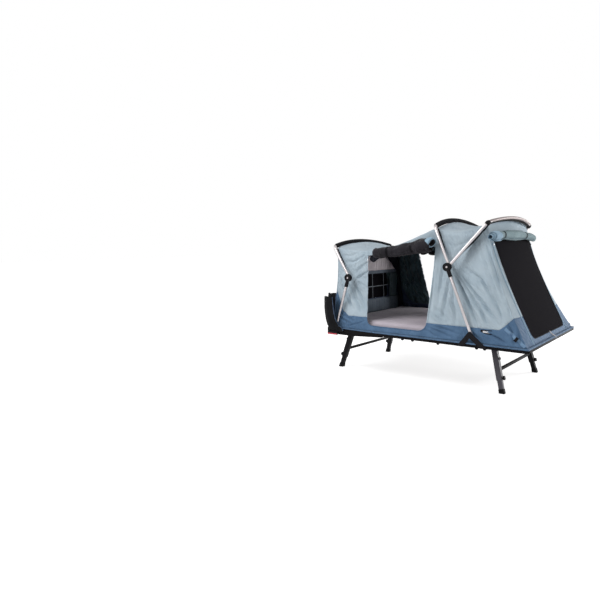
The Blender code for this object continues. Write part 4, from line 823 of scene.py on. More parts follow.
def fold_depths(folds, points):
    """How far each point lies below the plain cloth, summed over the folds near it."""
    total = np.zeros(len(points))
    for line, width, depth in folds:
        line = np.array(line, float)
        starts, ends = line[:-1], line[1:]
        lengths = np.linalg.norm(ends - starts, axis=1)
        before = np.concatenate([[0.0], np.cumsum(lengths)])
        nearest = np.full(len(points), 1e9)
        place = np.zeros(len(points))
        for index, (a, b) in enumerate(zip(starts, ends)):
            t = np.clip(((points - a) @ (b - a)) / lengths[index] ** 2, 0, 1)
            distance = np.linalg.norm(points - (a + t[:, None] * (b - a)), axis=1)
            closer = distance < nearest
            nearest[closer] = distance[closer]
            place[closer] = (before[index] + t * lengths[index])[closer]
        share = place / before[-1]
        taper = np.sin(np.pi * np.clip(0.06 + 0.94 * share, 0, 1)) ** 0.7
        spread = width * (0.6 + 0.8 * share)
        ratio = nearest / spread
        total += depth * taper * np.cos(1.9 * ratio) * np.exp(-1.3 * ratio)
    return total


RIPPLE_LENGTH = 0.30
RIPPLE_WIDTH = 0.055
RIPPLE_HEIGHT = 0.0032
RIPPLE_SEEDS = {"near": 1.3, "far": 5.1, "foot": 9.7, "hitch": 13.9}


def ripple(points, seed):
    """Soft uneven ripples that run up and down the cloth, with small dents between them."""
    return RIPPLE_HEIGHT * np.array([
        noise.noise(Vector((u / RIPPLE_WIDTH, v / RIPPLE_LENGTH, seed)))
        + 0.5 * noise.noise(Vector(((u + 0.6 * v) / 0.035, (v - 0.6 * u) / 0.12, seed + 7.0)))
        for u, v in points
    ])


def inside(outline, u, v):
    """Whether a point lies within an outline."""
    found = False
    for (u0, v0), (u1, v1) in zip(outline, outline[1:] + outline[:1]):
        if (v0 > v) != (v1 > v) and u < (u1 - u0) * (v - v0) / (v1 - v0) + u0:
            found = not found
    return found


def nearest_on(outline, u, v):
    """The point of an outline nearest to a point."""
    best, found = 1e9, None
    here = Vector((u, v))
    for a, b in zip(outline, outline[1:] + outline[:1]):
        a, b = Vector(a), Vector(b)
        t = min(1.0, max(0.0, (here - a).dot(b - a) / (b - a).length_squared))
        place = a.lerp(b, t)
        if (place - here).length < best:
            best, found = (place - here).length, place
    return found


def rounded_bottom(low_left, low_right, top_left, top_right, radius):
    """An opening's outline from its top right over the top left, down and round the bottom."""
    outline = [top_right, top_left]
    outline += arc_points((low_left[0] + radius, low_left[1] + radius), radius, 180, 270, 8)
    outline += arc_points((low_right[0] - radius, low_right[1] + radius), radius, 270, 360, 8)
    return outline


DOOR = rounded_bottom(
    (DOOR_HITCH_EDGE - 0.020, DOOR_SILL), (DOOR_FOOT_EDGE, DOOR_SILL),
    (DOOR_HITCH_EDGE - DOOR_EDGE_SLANT - 0.020, DOOR_HEAD_HITCH), (DOOR_FOOT_EDGE, DOOR_HEAD_FOOT), 0.080,
)
FOOT_WINDOW_TOP = EAVE_FOOT[1] - 0.118
HITCH_WINDOW_TOP = EAVE_HITCH[1] - 0.292
FOOT_WINDOW = rounded_bottom(
    (-0.500, FABRIC_BOTTOM + 0.042), (0.525, FABRIC_BOTTOM + 0.042),
    (-0.500, FOOT_WINDOW_TOP), (0.525, FOOT_WINDOW_TOP), 0.060,
)
HITCH_WINDOW = rounded_bottom(
    (-0.420, FABRIC_BOTTOM + 0.224), (0.420, FABRIC_BOTTOM + 0.224),
    (-0.420, HITCH_WINDOW_TOP), (0.420, HITCH_WINDOW_TOP), 0.040,
)
OPENINGS = {"near": DOOR, "far": DOOR, "foot": FOOT_WINDOW, "hitch": HITCH_WINDOW}
FOLD_GAIN = 2.5


def fan_creases(points, hub, facing, spread, everywhere, reach, depth, seed):
    """Sharp narrow creases that fan out of a hub, strongest in the direction that it pulls the cloth."""
    found = []
    for u, v in points:
        away = math.hypot(u - hub[0], v - hub[1])
        angle = math.atan2(v - hub[1], u - hub[0])
        turn = (angle - math.radians(facing) + math.pi) % (2 * math.pi) - math.pi
        strength = everywhere + (1 - everywhere) * math.exp(-(turn / math.radians(spread)) ** 2)
        strength *= math.exp(-(away / reach) ** 2) * min(1.0, away / 0.05)
        wave = noise.noise(Vector((math.cos(angle) * 7.5, math.sin(angle) * 7.5, away * 1.6 + seed)))
        found.append(depth * strength * (max(0.0, 1 - abs(wave) / 0.22) ** 1.4 - 0.3))
    return np.array(found)


# Hub, direction and spread of the pull in degrees, share elsewhere, reach and depth
HUB_CREASES = ((FOOT_HUB, -52.0, 38.0, 0.12, 0.52, 0.016), (HITCH_HUB, -50.0, 60.0, 0.45, 0.34, 0.019))


def wall_depths(wall, points):
    """Depth of the folds and ripples of one wall, fading at its corner seams."""
    points = np.array(points, float).reshape(-1, 2)
    folds = SIDE_FOLDS if wall in SIDES else END_FOLDS[wall]
    if not len(points):
        return points[:, 0]
    depths = FOLD_GAIN * fold_depths(folds, points) + ripple(points, RIPPLE_SEEDS[wall])
    if wall in SIDES:
        seed = 2.0 if wall == "near" else 8.0
        for number, crease in enumerate(HUB_CREASES):
            depths += fan_creases(points, *crease, seed + 3.0 * number)
        depths *= np.clip(np.abs(points[:, 0] - DOOR_HITCH_EDGE) / 0.035, 0.3, 1.0)
    if wall == "foot":
        depths *= 0.6
    return depths


def stops_between(stops, step):
    places = [stops[0]]
    for start, end in zip(stops, stops[1:]):
        count = max(1, round((end - start) / step))
        places += [start + (end - start) * i / count for i in range(1, count + 1)]
    return places


SIDE_PLACES = stops_between(
    [x for x, _ in SKIRT_HEIGHTS[:3]] + [EAVE_MIDDLE[0]] + [x for x, _ in SKIRT_HEIGHTS[3:]],
    0.0105,
)
ACROSS_COUNT = 88


def ring_columns():
    """All wall columns once round, each with the wall it belongs to and its coordinate there."""
    steps = [2 * i / ACROSS_COUNT - 1 for i in range(1, ACROSS_COUNT)]
    ring = [("near", x) for x in SIDE_PLACES]
    ring += [("foot", step) for step in steps]
    ring += [("far", x) for x in reversed(SIDE_PLACES)]
    ring += [("hitch", -step) for step in steps]
    return ring


def seam_fade(wall, u):
    """0 at a wall's corner seams and 1 a little way in."""
    if wall in SIDES:
        distance = min(u - FABRIC_HITCH_X, FABRIC_FOOT_X - u)
    else:
        distance = (1 - abs(u)) * FABRIC_HALF_WIDTH
    return min(1.0, distance / 0.03)


def cloth_ring(rows, low_share, high_share):
    """Grid of places round the walls: rows of (wall, u, height share)."""
    ring = ring_columns()
    columns = [column_of(wall, u) for wall, u in ring]
    grid = []
    for row in range(rows + 1):
        level = []
        for (wall, u), column in zip(ring, columns):
            low, high = low_share(column), high_share(column)
            level.append(wall_point(column, low + (high - low) * row / rows))
        grid.append(level)
    return ring, grid


def skirt_share(column):
    foot, head, _, skirt = column
    return skirt / (head.z - foot.z)


def flat_coordinates(wall, place):
    """A place's two coordinates along its wall."""
    return (place.x, place.z) if wall in SIDES else (place.y, place.z)


# How far from an opening's outline a point of the cloth's rim may lie and still be drawn onto it
RIM_REACH = 0.026


def wall_faces(bm, verts, ring):
    """The faces of the walls outside their openings, each with its wall."""
    faces = []
    for low, high in zip(verts, verts[1:]):
        for index, (wall, _) in enumerate(ring):
            following = (index + 1) % len(ring)
            if wall in SIDES and ring[following][0] not in SIDES:
                wall = ring[following][0]
            quad = (low[index], low[following], high[following], high[index])
            middle = sum((v.co for v in quad), Vector()) / 4
            if not inside(OPENINGS[wall], *flat_coordinates(wall, middle)):
                faces.append((bm.faces.new(quad), wall))
    return faces


def draw_rims(places):
    """Draws the cloth's rims onto the outlines of the openings."""
    for vert, (wall, _) in places.items():
        here = flat_coordinates(wall, vert.co)
        if any(edge.is_boundary for edge in vert.link_edges):
            snapped = nearest_on(OPENINGS[wall], *here)
            if (snapped - Vector(here)).length < RIM_REACH:
                vert.co = on_wall(wall, snapped.x, snapped.y)


def lay_folds(places):
    """Lays the folds and ripples into the walls."""
    for wall in OUTWARD:
        chosen = [vert for vert, place in places.items() if place[0] == wall]
        depths = wall_depths(wall, [flat_coordinates(wall, vert.co) for vert in chosen])
        for vert, depth in zip(chosen, depths):
            vert.co -= OUTWARD[wall] * depth * seam_fade(*places[vert])


def build_cloth(name, rows, low_share, high_share, with_roof, finish, inner):
    """The walls, and the roof where asked, as one sewn shell; gives the object and its area."""
    ring, grid = cloth_ring(rows, low_share, high_share)
    bm = bmesh.new()
    uv_layer = bm.loops.layers.uv.new("UVMap")
    verts = [[bm.verts.new(place) for place in level] for level in grid]
    faces = wall_faces(bm, verts, ring)
    places = {vert: place for level in verts for vert, place in zip(level, ring) if vert.link_faces}
    draw_rims(places)
    lay_folds(places)
    roof_faces = add_roof(bm, verts[-1]) if with_roof else []
    loose = [vert for vert in bm.verts if not vert.link_faces]
    bmesh.ops.delete(bm, geom=loose, context="VERTS")
    for face, wall in faces:
        for loop in face.loops:
            loop[uv_layer].uv = flat_coordinates(wall, loop.vert.co)
    for face in roof_faces:
        for loop in face.loops:
            loop[uv_layer].uv = (loop.vert.co.x, loop.vert.co.y)
    for face in bm.faces:
        face.smooth = True
    mesh = bpy.data.meshes.new(name)
    bm.to_mesh(mesh)
    bm.free()
    obj = new_object(name, mesh)
    area = sum(polygon.area for polygon in mesh.polygons)
    for finish_name in (finish, inner):
        mesh.materials.append(FINISHES[finish_name])
    apply_modifier(
        obj, "SOLIDIFY", thickness=CLOTH_THICKNESS, offset=-1, material_offset=1, material_offset_rim=0
    )
    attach(obj, "platform")
    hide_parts(name.replace("_cloth", ""))
    fold_with_frame(obj)
    return obj, area


def add_roof(bm, top):
    """The roof between the heads of the walls; it sags between the hoops and domes across them."""
    along, across = len(SIDE_PLACES), ACROSS_COUNT
    near = top[:along]
    foot = top[along:along + across - 1]
    far = list(reversed(top[along + across - 1:2 * along + across - 1]))
    hitch = list(reversed(top[2 * along + across - 1:]))
    rows = [near]
    for step in range(1, across):
        share = 2 * step / across - 1
        line = [hitch[step - 1]]
        for index in range(1, along - 1):
            a, b = near[index].co, far[index].co
            rise = in_spans(CROWN_SPANS, (a.x + b.x) / 2) * (1 - share**2)
            place = a.lerp(b, step / across) + Vector((0, 0, rise))
            edge = min(1.0, min(step, across - step) / 5) * min(1.0, min(index, along - 1 - index) / 5)
            wrinkle = 0.004 * noise.noise(Vector((place.x / 0.07, place.y / 0.35, 21.0)))
            wrinkle += 0.002 * noise.noise(Vector((place.x / 0.03, place.y / 0.06, 33.0)))
            line.append(bm.verts.new(place + Vector((0, 0, wrinkle * edge))))
        line.append(foot[step - 1])
        rows.append(line)
    rows.append(far)
    faces = []
    for low, high in zip(rows, rows[1:]):
        for index in range(along - 1):
            faces.append(bm.faces.new((low[index], low[index + 1], high[index + 1], high[index])))
    edge_verts = set(near[2:-2]) | set(far[2:-2]) | set(rows[1][2:-2]) | set(rows[-2][2:-2])
    for _ in range(3):
        bmesh.ops.smooth_vert(
            bm, verts=list(edge_verts), factor=0.4, use_axis_x=False, use_axis_y=True, use_axis_z=True
        )
    return faces


def wall_place(wall, u, v, proud=0.0):
    """A place on the finished outside of a wall, folds included."""
    place = on_wall(wall, u, v)
    fade = seam_fade(wall, u if wall in SIDES else u / FABRIC_HALF_WIDTH)
    depth = wall_depths(wall, [(u, v)])[0] * fade
    return place + OUTWARD[wall] * (proud - depth)


def refine_path(points, step):
    """Points along straight runs, no further apart than the step."""
    path = [points[0]]
    for a, b in zip(points, points[1:]):
        count = max(1, math.ceil(math.dist(a, b) / step))
        for i in range(1, count + 1):
            path.append((a[0] + (b[0] - a[0]) * i / count, a[1] + (b[1] - a[1]) * i / count))
    return path


def binding(name, wall, path, width, height, finish, lower=None):
    """A flat sewn strip that follows a line on a wall; it may change its finish at the lower walls' seam."""
    points = [wall_place(wall, u, v, height / 2 - 0.0006) for u, v in refine_path(path, 0.02)]
    obj = sweep(name, points, rounded_outline(height, width, min(width, height) * 0.45), OUTWARD[wall])
    finish_piece(obj, finish, more=(lower,) if lower else ())
    if lower:
        for polygon in obj.data.polygons:
            u, v = flat_coordinates(wall, polygon.center)
            polygon.material_index = int(v < FABRIC_BOTTOM + interpolate(SKIRT_HEIGHTS, u))
    fold_with_frame(obj)


# Top and bottom ends of the zips on the foot wall, each as distance out from its middle and height
FOOT_ZIP = ((0.540, 1.318), (0.548, 0.470))


def build_shell():
    canopy, area = build_cloth(
        "canopy_cloth", 66, skirt_share, lambda column: 1.0, True,
        "canopy_polyester", "dark_lining",
    )
    tub, area = build_cloth(
        "tub_skirt_cloth", 16, lambda column: 0.0, skirt_share, False,
        "tub_polyester", "tub_inside",
    )
    build_hem()
    for side in SIDES:
        rim = DOOR[1:] + DOOR[:1]
        binding(side + "_door_binding", side, rim, 0.010, 0.004, "canopy_polyester", "tub_polyester")
    build_panel("foot", FOOT_WINDOW, "foot_mesh_panel")
    build_panel("hitch", HITCH_WINDOW, "hitch_mesh_panel")
    binding("foot_window_zip", "foot", FOOT_WINDOW[1:] + FOOT_WINDOW[:1], 0.008, 0.004, "black_webbing")
    binding("hitch_window_zip", "hitch", HITCH_WINDOW + HITCH_WINDOW[:1], 0.008, 0.004, "canopy_polyester")
    for side, sign in SIDES.items():
        line = [(sign * across, height) for across, height in FOOT_ZIP]
        binding(side + "_foot_wall_zip", "foot", line, 0.011, 0.005, "roll_inside")
        build_corner_piping(side, sign)


# Section of the hem: how far out and how far down from the foot of the wall
HEM_PROFILE = (
    (-0.0200, 0.0), (-0.0080, -0.0003), (0.0, -0.0004),
    (0.0016, -0.0020), (0.0018, -0.0060), (0.0018, -0.0125),
)
HEM_CORNER_RADIUS = 0.006


def hem_line():
    """Places round the platform's edge, from hitch end to hitch end, each with the way that is outward."""
    half, end, start, radius = HALF_WIDTH, FOOT_END_X, HITCH_END_X + 0.020, HEM_CORNER_RADIUS
    line = [(x, -half, (0, -1)) for x in np.linspace(start, end - radius, 150)]
    for x, y in arc_points((0, 0), 1.0, -75, -15, 4):
        line.append((end - radius + radius * x, -half + radius + radius * y, (x, y)))
    line += [(end, y, (1, 0)) for y in np.linspace(-half + radius, 0, 60)]
    return line + [(x, -y, (nx, -ny)) for x, y, (nx, ny) in reversed(line[:-1])]


def build_hem():
    """The foot of the lower walls, drawn out over the platform's top and down the rails' outer faces."""
    line = hem_line()
    runs = running_lengths([place[:2] for place in line])
    rows = []
    for run, (x, y, (nx, ny)) in zip(runs, line):
        lift = 0.012 * min(1.0, max(0.0, (-0.35 - x) / 0.45))
        row = []
        for step, (out, drop) in enumerate(HEM_PROFILE):
            pucker = 0.0012 * noise.noise(Vector((run / 0.045, step * 0.4, 2.0))) if step else 0.0
            down = drop * (1 - lift / 0.0160) + pucker if step > 3 else drop
            out += abs(pucker)
            row.append(((x + nx * out, y + ny * out, FABRIC_BOTTOM + down), (run, step * 0.007)))
        rows.append(row)
    obj, area = grid_sheet("tub_hem_cloth", rows)
    if obj.data.polygons[0].normal.z < 0:
        obj.data.flip_normals()
    apply_modifier(obj, "SOLIDIFY", thickness=0.0012, offset=-1)
    finish_piece(obj, "tub_polyester")


def span_at(outline, v):
    """The least and the greatest long coordinate of an outline at a height."""
    crossing = []
    for (u0, v0), (u1, v1) in zip(outline, outline[1:] + outline[:1]):
        if min(v0, v1) - 1e-9 <= v <= max(v0, v1) + 1e-9 and abs(v1 - v0) > 1e-9:
            crossing.append(u0 + (u1 - u0) * (v - v0) / (v1 - v0))
        elif abs(v1 - v0) <= 1e-9 and abs(v - v0) < 1e-6:
            crossing += [u0, u1]
    return min(crossing), max(crossing)


def build_panel(wall, outline, node):
    """A taut netting panel within a window, set just inside the zip."""
    us, vs = zip(*outline)
    width, height = max(us) - min(us), max(vs) - min(vs)
    columns, rows = 48, 40
    grid = []
    for row in range(rows + 1):
        v = min(vs) + height * row / rows
        low, high = span_at(outline, v)
        line = []
        for column in range(columns + 1):
            sag = 0.004 * math.sin(math.pi * column / columns) * math.sin(math.pi * row / rows)
            place = on_wall(wall, low + (high - low) * column / columns, v) - OUTWARD[wall] * (0.0006 + sag)
            line.append((place, flat_coordinates(wall, place)))
        grid.append(line)
    if wall == "hitch":
        grid.reverse()
    obj, area = grid_sheet(node + "_netting", grid)
    apply_modifier(obj, "SOLIDIFY", thickness=0.001, offset=-1)
    finish_piece(obj, "insect_mesh", replaces=(node,), squash=True)


def build_corner_piping(side, sign):
    """The piped seam that runs down each corner of the hitch end."""
    column = end_column(float(sign), False)
    outward = Vector((-1, sign, 0)).normalized()
    points = [wall_point(column, 0.005 + 0.985 * i / 40) + outward * 0.001 for i in range(41)]
    piping = sweep(side + "_hitch_seam_piping", points, circle_outline(0.0030, 8), outward)
    finish_piece(piping, "canopy_polyester", squash=True)


build_shell()

# The rolled-up doors


def roll_line(side):
    """Axis points of a rolled side door under its eave."""
    sign = SIDES[side]
    points = []
    for index in range(65):
        share = index / 64
        x = DOOR_HITCH_EDGE - 0.015 + (DOOR_FOOT_EDGE - DOOR_HITCH_EDGE + 0.015) * share
        drop = 0.025 + (0.122 - 0.025) * share
        eave = interpolate(EAVE_HALF_WIDTHS, x)
        points.append(Vector((x, sign * (eave + 0.052 + 0.008 + 0.2 * drop), in_spans(EAVE_SPANS, x) - drop)))
    return points


def smooth_between(table, share):
    """A value eased from one place of a table to the next."""
    for (a, low), (b, high) in zip(table, table[1:]):
        if share <= b:
            part = max(0.0, (share - a) / (b - a))
            return low + (high - low) * (3 * part**2 - 2 * part**3)
    return table[-1][1]


def round_axes(along):
    """Two axes square to a direction, the first as near upright as it can be."""
    side = Vector((0, 0, 1))
    side = (side - along * side.dot(along)).normalized()
    return side, along.cross(side)


def spiral_sheet(name, points, radii, inner_share, turns, finish, inside_finish, seed, start, lumps,
                 thickness=0.0018, rim=1, telescope=0.0):
    """A rolled sheet: a spiral carried along its axis, as thick as the table says and lumpy between its ties.

    Gives the object and the flat size of its cloth."""
    count, steps = len(points), int(turns * 30)
    rings = []
    for index, point in enumerate(points):
        share = index / (count - 1)
        along = (points[min(count - 1, index + 1)] - points[max(0, index - 1)]).normalized()
        side, up = round_axes(along)
        outer = smooth_between(radii, share)
        line = []
        for step in range(steps + 1):
            part = step / steps
            angle = start + 2 * math.pi * turns * part
            radius = outer * (1 + (inner_share - 1) * part)
            spot = Vector((share * 8, math.cos(angle) * 1.3, math.sin(angle) * 1.3 + seed))
            crease = Vector((share * 26, math.cos(angle) * 1.6 + share * 5, math.sin(angle) * 1.6 + seed))
            lump = 1 + lumps * noise.noise(spot) - 0.8 * lumps * abs(noise.noise(crease))
            slip = along * telescope * (1 - part) * max(0.0, 1 - share / 0.20)
            line.append(point + slip + (side * math.cos(angle) + up * math.sin(angle)) * radius * lump)
        rings.append(line)
    length = running_lengths(points)[-1]
    spiral_length = math.pi * max(radius for _, radius in radii) * (1 + inner_share) * turns
    obj, area = grid_sheet(name, with_uv(
        rings, [spiral_length * step / steps for step in range(steps + 1)],
        [length * index / (count - 1) for index in range(count)],
    ))
    mesh = obj.data
    probe = mesh.polygons[len(mesh.polygons) // 2 // steps * steps]
    axis = min(points, key=lambda point: (point - probe.center).length)
    if probe.normal.dot(probe.center - axis) < 0:
        mesh.flip_normals()
    for finish_name in (finish, inside_finish):
        mesh.materials.append(FINISHES[finish_name])
    apply_modifier(
        obj, "SOLIDIFY", thickness=thickness, offset=-1, material_offset=1, material_offset_rim=rim
    )
    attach(obj, "platform")
    return obj, (round(length, 3), round(area / length, 3))


def build_ties(name, points, shares, radius, width):
    """Webbing ties round a roll."""
    made = []
    for number, share in enumerate(shares, 1):
        index = round(share * (len(points) - 1))
        side, up = round_axes((points[index + 1] - points[index - 1]).normalized())
        ring = [
            points[index] + (side * math.cos(a) + up * math.sin(a)) * radius
            for a in (2 * math.pi * i / 28 for i in range(28))
        ]
        sides = [(p - points[index]).normalized() for p in ring]
        tie = sweep(f"{name}_tie_{number}", ring, rounded_outline(0.0016, width, 0.0007), sides, closed=True)
        finish_piece(tie, "black_webbing", squash=True)
        made.append(tie)
    return made


# Radii along each roll, from the hitch or near end on
DARK_ROLL_RADII = {
    "near": (
        (0.0, 0.018), (0.015, 0.038), (0.05, 0.050), (0.16, 0.056), (0.27, 0.049), (0.36, 0.056),
        (0.55, 0.059), (0.69, 0.059), (0.80, 0.070), (0.92, 0.067), (1.0, 0.058),
    ),
    "far": (
        (0.0, 0.018), (0.015, 0.036), (0.05, 0.048), (0.16, 0.053), (0.27, 0.049), (0.36, 0.052),
        (0.55, 0.053), (0.69, 0.051), (0.80, 0.052), (0.94, 0.050), (1.0, 0.046),
    ),
}
BLUE_ROLL_RADII = ((0.0, 0.034), (0.55, 0.036), (0.80, 0.044), (1.0, 0.047))
NETTING_ROLL_RADII = ((0.0, 0.022), (0.5, 0.026), (1.0, 0.026))
FOOT_ROLL_RADII = (
    (0.0, 0.044), (0.05, 0.047), (0.13, 0.050), (0.20, 0.041), (0.24, 0.033), (0.29, 0.043), (0.38, 0.050),
    (0.50, 0.051), (0.64, 0.048), (0.70, 0.040), (0.735, 0.031), (0.78, 0.038), (0.90, 0.040), (1.0, 0.036),
)


# How far a side roll's bundle drops towards the foot end, and how many of the axis points it takes
ROLL_HANG = {"near": (0.036, 64), "far": (-0.050, 61)}


def build_side_rolls(side):
    """A side door rolled up: the dark bundle, the door's cloth and its netting."""
    points = roll_line(side)
    hang, count = ROLL_HANG[side]
    bundle = [
        point - Vector((0, 0, hang * max(0.0, index / 60 - 0.35) ** 1.2))
        for index, point in enumerate(points[:count])
    ]
    dark, flat = spiral_sheet(
        side + "_door_roll_cloth", bundle, DARK_ROLL_RADII[side], 0.93, 1.3,
        "roll_polyester", "roll_polyester", 2.4 if side == "near" else 6.0, start=2.2, lumps=0.16,
    )
    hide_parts(side + "_door_roll")
    ties = build_ties(side + "_door_roll", bundle, (0.27, 0.69), 0.0515, 0.016)
    fold_with_frame(dark)
    turned = [
        point + Vector((0, SIDES[side] * 0.022 * max(0.0, index / 64 - 0.84) ** 2 / 0.0256, 0))
        for index, point in enumerate(points)
    ]
    blue, flat = spiral_sheet(
        side + "_door_cloth_roll", turned[16:], BLUE_ROLL_RADII, 0.72, 3.2, "roll_inside", "roll_polyester",
        4.0, start=0.9, lumps=0.02, thickness=0.0030, rim=0,
    )
    fold_with_frame(blue)
    net, flat = spiral_sheet(
        side + "_door_netting_roll", points[4:61], NETTING_ROLL_RADII, 0.45, 2.2,
        "insect_mesh", "insect_mesh", 3.0, start=0.4, lumps=0.05,
    )
    fold_with_frame(net)


def build_foot_roll():
    """The foot door rolled up above its window, with its pale inner face showing at the near end."""
    points = []
    for index in range(81):
        across = 2 * index / 80 - 1
        column = end_column(across * 0.9, True)
        height = EAVE_FOOT[1] - 0.088 - 0.026 * abs(across) ** 3
        share = (height - column[0].z) / (column[1].z - column[0].z)
        points.append(Vector((wall_point(column, share).x + 0.052, across * 0.614 - 0.120, height)))
    roll, flat = spiral_sheet(
        "foot_door_roll_cloth", points, FOOT_ROLL_RADII, 0.42, 3.2, "foot_roll_polyester", "roll_inside",
        11.0, start=2.4, lumps=0.10, telescope=0.085,
    )
    for polygon in roll.data.polygons:
        if polygon.center.y + 0.7 * (polygon.center.z - points[0].z) < -0.535:
            polygon.material_index = 1
    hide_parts("foot_door_roll")
    ties = build_ties("foot_door_roll", points, (0.24, 0.735), 0.0335, 0.018)
    fold_with_frame(roll)


for side in SIDES:
    build_side_rolls(side)
build_foot_roll()

# The mattress


MATTRESS_VOXEL = 0.014
MATTRESS_SWELL = 0.006
MATTRESS_SWELL_UP = 0.004


def swell(obj, low, high):
    """Lets a cover swell by a cloth simulation, no further than the cap and never below its underside."""
    rest = np.array([v.co for v in obj.data.vertices])
    cloth = obj.modifiers.new("cloth", "CLOTH")
    cloth.settings.use_pressure = True
    cloth.settings.uniform_pressure_force = 4.0
    cloth.settings.effector_weights.gravity = 0.0
    cloth.settings.tension_stiffness = 30.0
    cloth.settings.compression_stiffness = 30.0
    for step in range(1, 13):
        bpy.context.scene.frame_set(step)
    choose(obj)
    bpy.ops.object.modifier_apply(modifier="cloth")
    bpy.context.scene.frame_set(1)
    move = np.array([v.co for v in obj.data.vertices]) - rest
    size = np.linalg.norm(move, axis=1, keepdims=True)
    now = rest + move * np.minimum(1.0, MATTRESS_SWELL / np.maximum(size, 1e-9))
    now[:, 2] = np.clip(now[:, 2], low, high + MATTRESS_SWELL_UP)
    obj.data.vertices.foreach_set("co", now.astype(np.float32).ravel())
    obj.data.update()


def build_mattress():
    """A foam mattress in a knitted cover, crowned and swelled a little."""
    obj = clean_copy("mattress", "mattress_cover")
    low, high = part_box("mattress")
    middle = (low + high) / 2
    smaller = Matrix.Diagonal((0.992, 0.992, 0.95, 1.0))
    obj.data.transform(Matrix.Translation(middle) @ smaller @ Matrix.Translation(-middle))
    apply_modifier(obj, "REMESH", mode="VOXEL", voxel_size=MATTRESS_VOXEL)
    swell(obj, low.z, high.z)
    choose(obj)
    bpy.ops.object.shade_smooth()
    uv = obj.data.uv_layers.new(name="UVMap")
    for loop in obj.data.loops:
        co = obj.data.vertices[loop.vertex_index].co
        uv.data[loop.index].uv = (co.x, co.y + co.z)
    finish_piece(obj, "mattress_knit", replaces=("mattress",))


build_mattress()

# Cloth inside the hitch end


def pleated(name, y0, y1, z0, z1, x, depth, pitch, finish):
    """A gathered strip of cloth that hangs inside the hitch end wall."""
    columns, rows = int((y1 - y0) / pitch * 8), 10
    grid = []
    for row in range(rows + 1):
        line = []
        for column in range(columns + 1):
            y = y0 + (y1 - y0) * column / columns
            wave = math.sin(2 * math.pi * (y / pitch + 0.5 * noise.noise(Vector((y * 9, 0, 3)))))
            wave *= 0.7 + 0.5 * noise.noise(Vector((y * 6, 2, 1)))
            line.append((x + depth * (1 - 0.65 * row / rows) * wave, y, z0 + (z1 - z0) * row / rows))
        grid.append(line)
    runs = running_lengths(grid[0])
    obj, _ = grid_sheet(name, with_uv(grid, runs, [(z1 - z0) * row / rows for row in range(rows + 1)]))
    apply_modifier(obj, "SOLIDIFY", thickness=0.0012, offset=0)
    finish_piece(obj, finish, squash=True)


def build_inside():
    pleated(
        "inner_valance", -0.575, 0.575, 1.012, 1.175, -0.812, 0.007, 0.050, "valance_polyester"
    )
    pleated("inner_window_header", -0.560, 0.575, 0.975, 1.010, -0.820, 0.003, 0.030, "inner_band")
    pleated("inner_lower_band", -0.640, 0.640, 0.540, 0.688, -0.822, 0.009, 0.038, "inner_band")
    for side, sign in SIDES.items():
        y0, y1 = sorted((sign * 0.430, sign * 0.590))
        pleated(side + "_inner_side_band", y0, y1, 0.690, 0.974, -0.824, 0.008, 0.034, "inner_lining")
        build_corner_netting(side, sign)
        build_door_curtain(side, sign)
    for name, y in (("inner_window_rib_up", 0.062), ("inner_window_rib_up_far", 0.305)):
        build_window_rib(name, [(-0.832, y, 0.692), (-0.838, y, 0.830), (-0.844, y, 0.974)])
    build_window_rib(
        "inner_window_rib_across", [(-0.838, -0.420, 0.830), (-0.838, 0.0, 0.828), (-0.838, 0.420, 0.830)]
    )


def build_window_rib(name, points):
    """A ribbed tape over a seam of the hitch window."""
    rib = sweep(name, points, rounded_outline(0.0016, 0.009, 0.0007), (1, 0, 0))
    finish_piece(rib, "inner_rib", squash=True)


NETTING_TOP = 1.185
NETTING_DROP = 0.610


def build_corner_netting(side, sign):
    """Netting drawn aside into the hitch corner, from the crown out to the side wall, in hanging folds."""
    columns, rows = 110, 34
    grid = []
    for row in range(rows + 1):
        down = row / rows
        inner = 0.240 + 0.330 * min(1.0, down / 0.40) ** 0.8
        outer = 0.545 + 0.120 * down
        line = []
        for column in range(columns + 1):
            share = column / columns
            bend = 0.5 * noise.noise(Vector((share * 5, down * 1.5, sign * 3.0)))
            depth = 0.012 * (0.5 + 0.5 * down) * math.sin(2 * math.pi * (share * 9 + bend))
            y = inner + (outer - inner) * share + 0.004 * noise.noise(Vector((share * 4, down * 4, 8.0)))
            line.append((-0.792 + depth + 0.018 * down, sign * y, NETTING_TOP - NETTING_DROP * down))
        grid.append(line)
    heights = [NETTING_DROP * (1 - row / rows) for row in range(rows + 1)]
    rows_up = with_uv(grid, running_lengths(grid[-1]), heights)[::-1]
    obj, area = grid_sheet(side + "_corner_netting", rows_up)
    apply_modifier(obj, "SOLIDIFY", thickness=0.0010, offset=0)
    finish_piece(obj, "netting", squash=True)


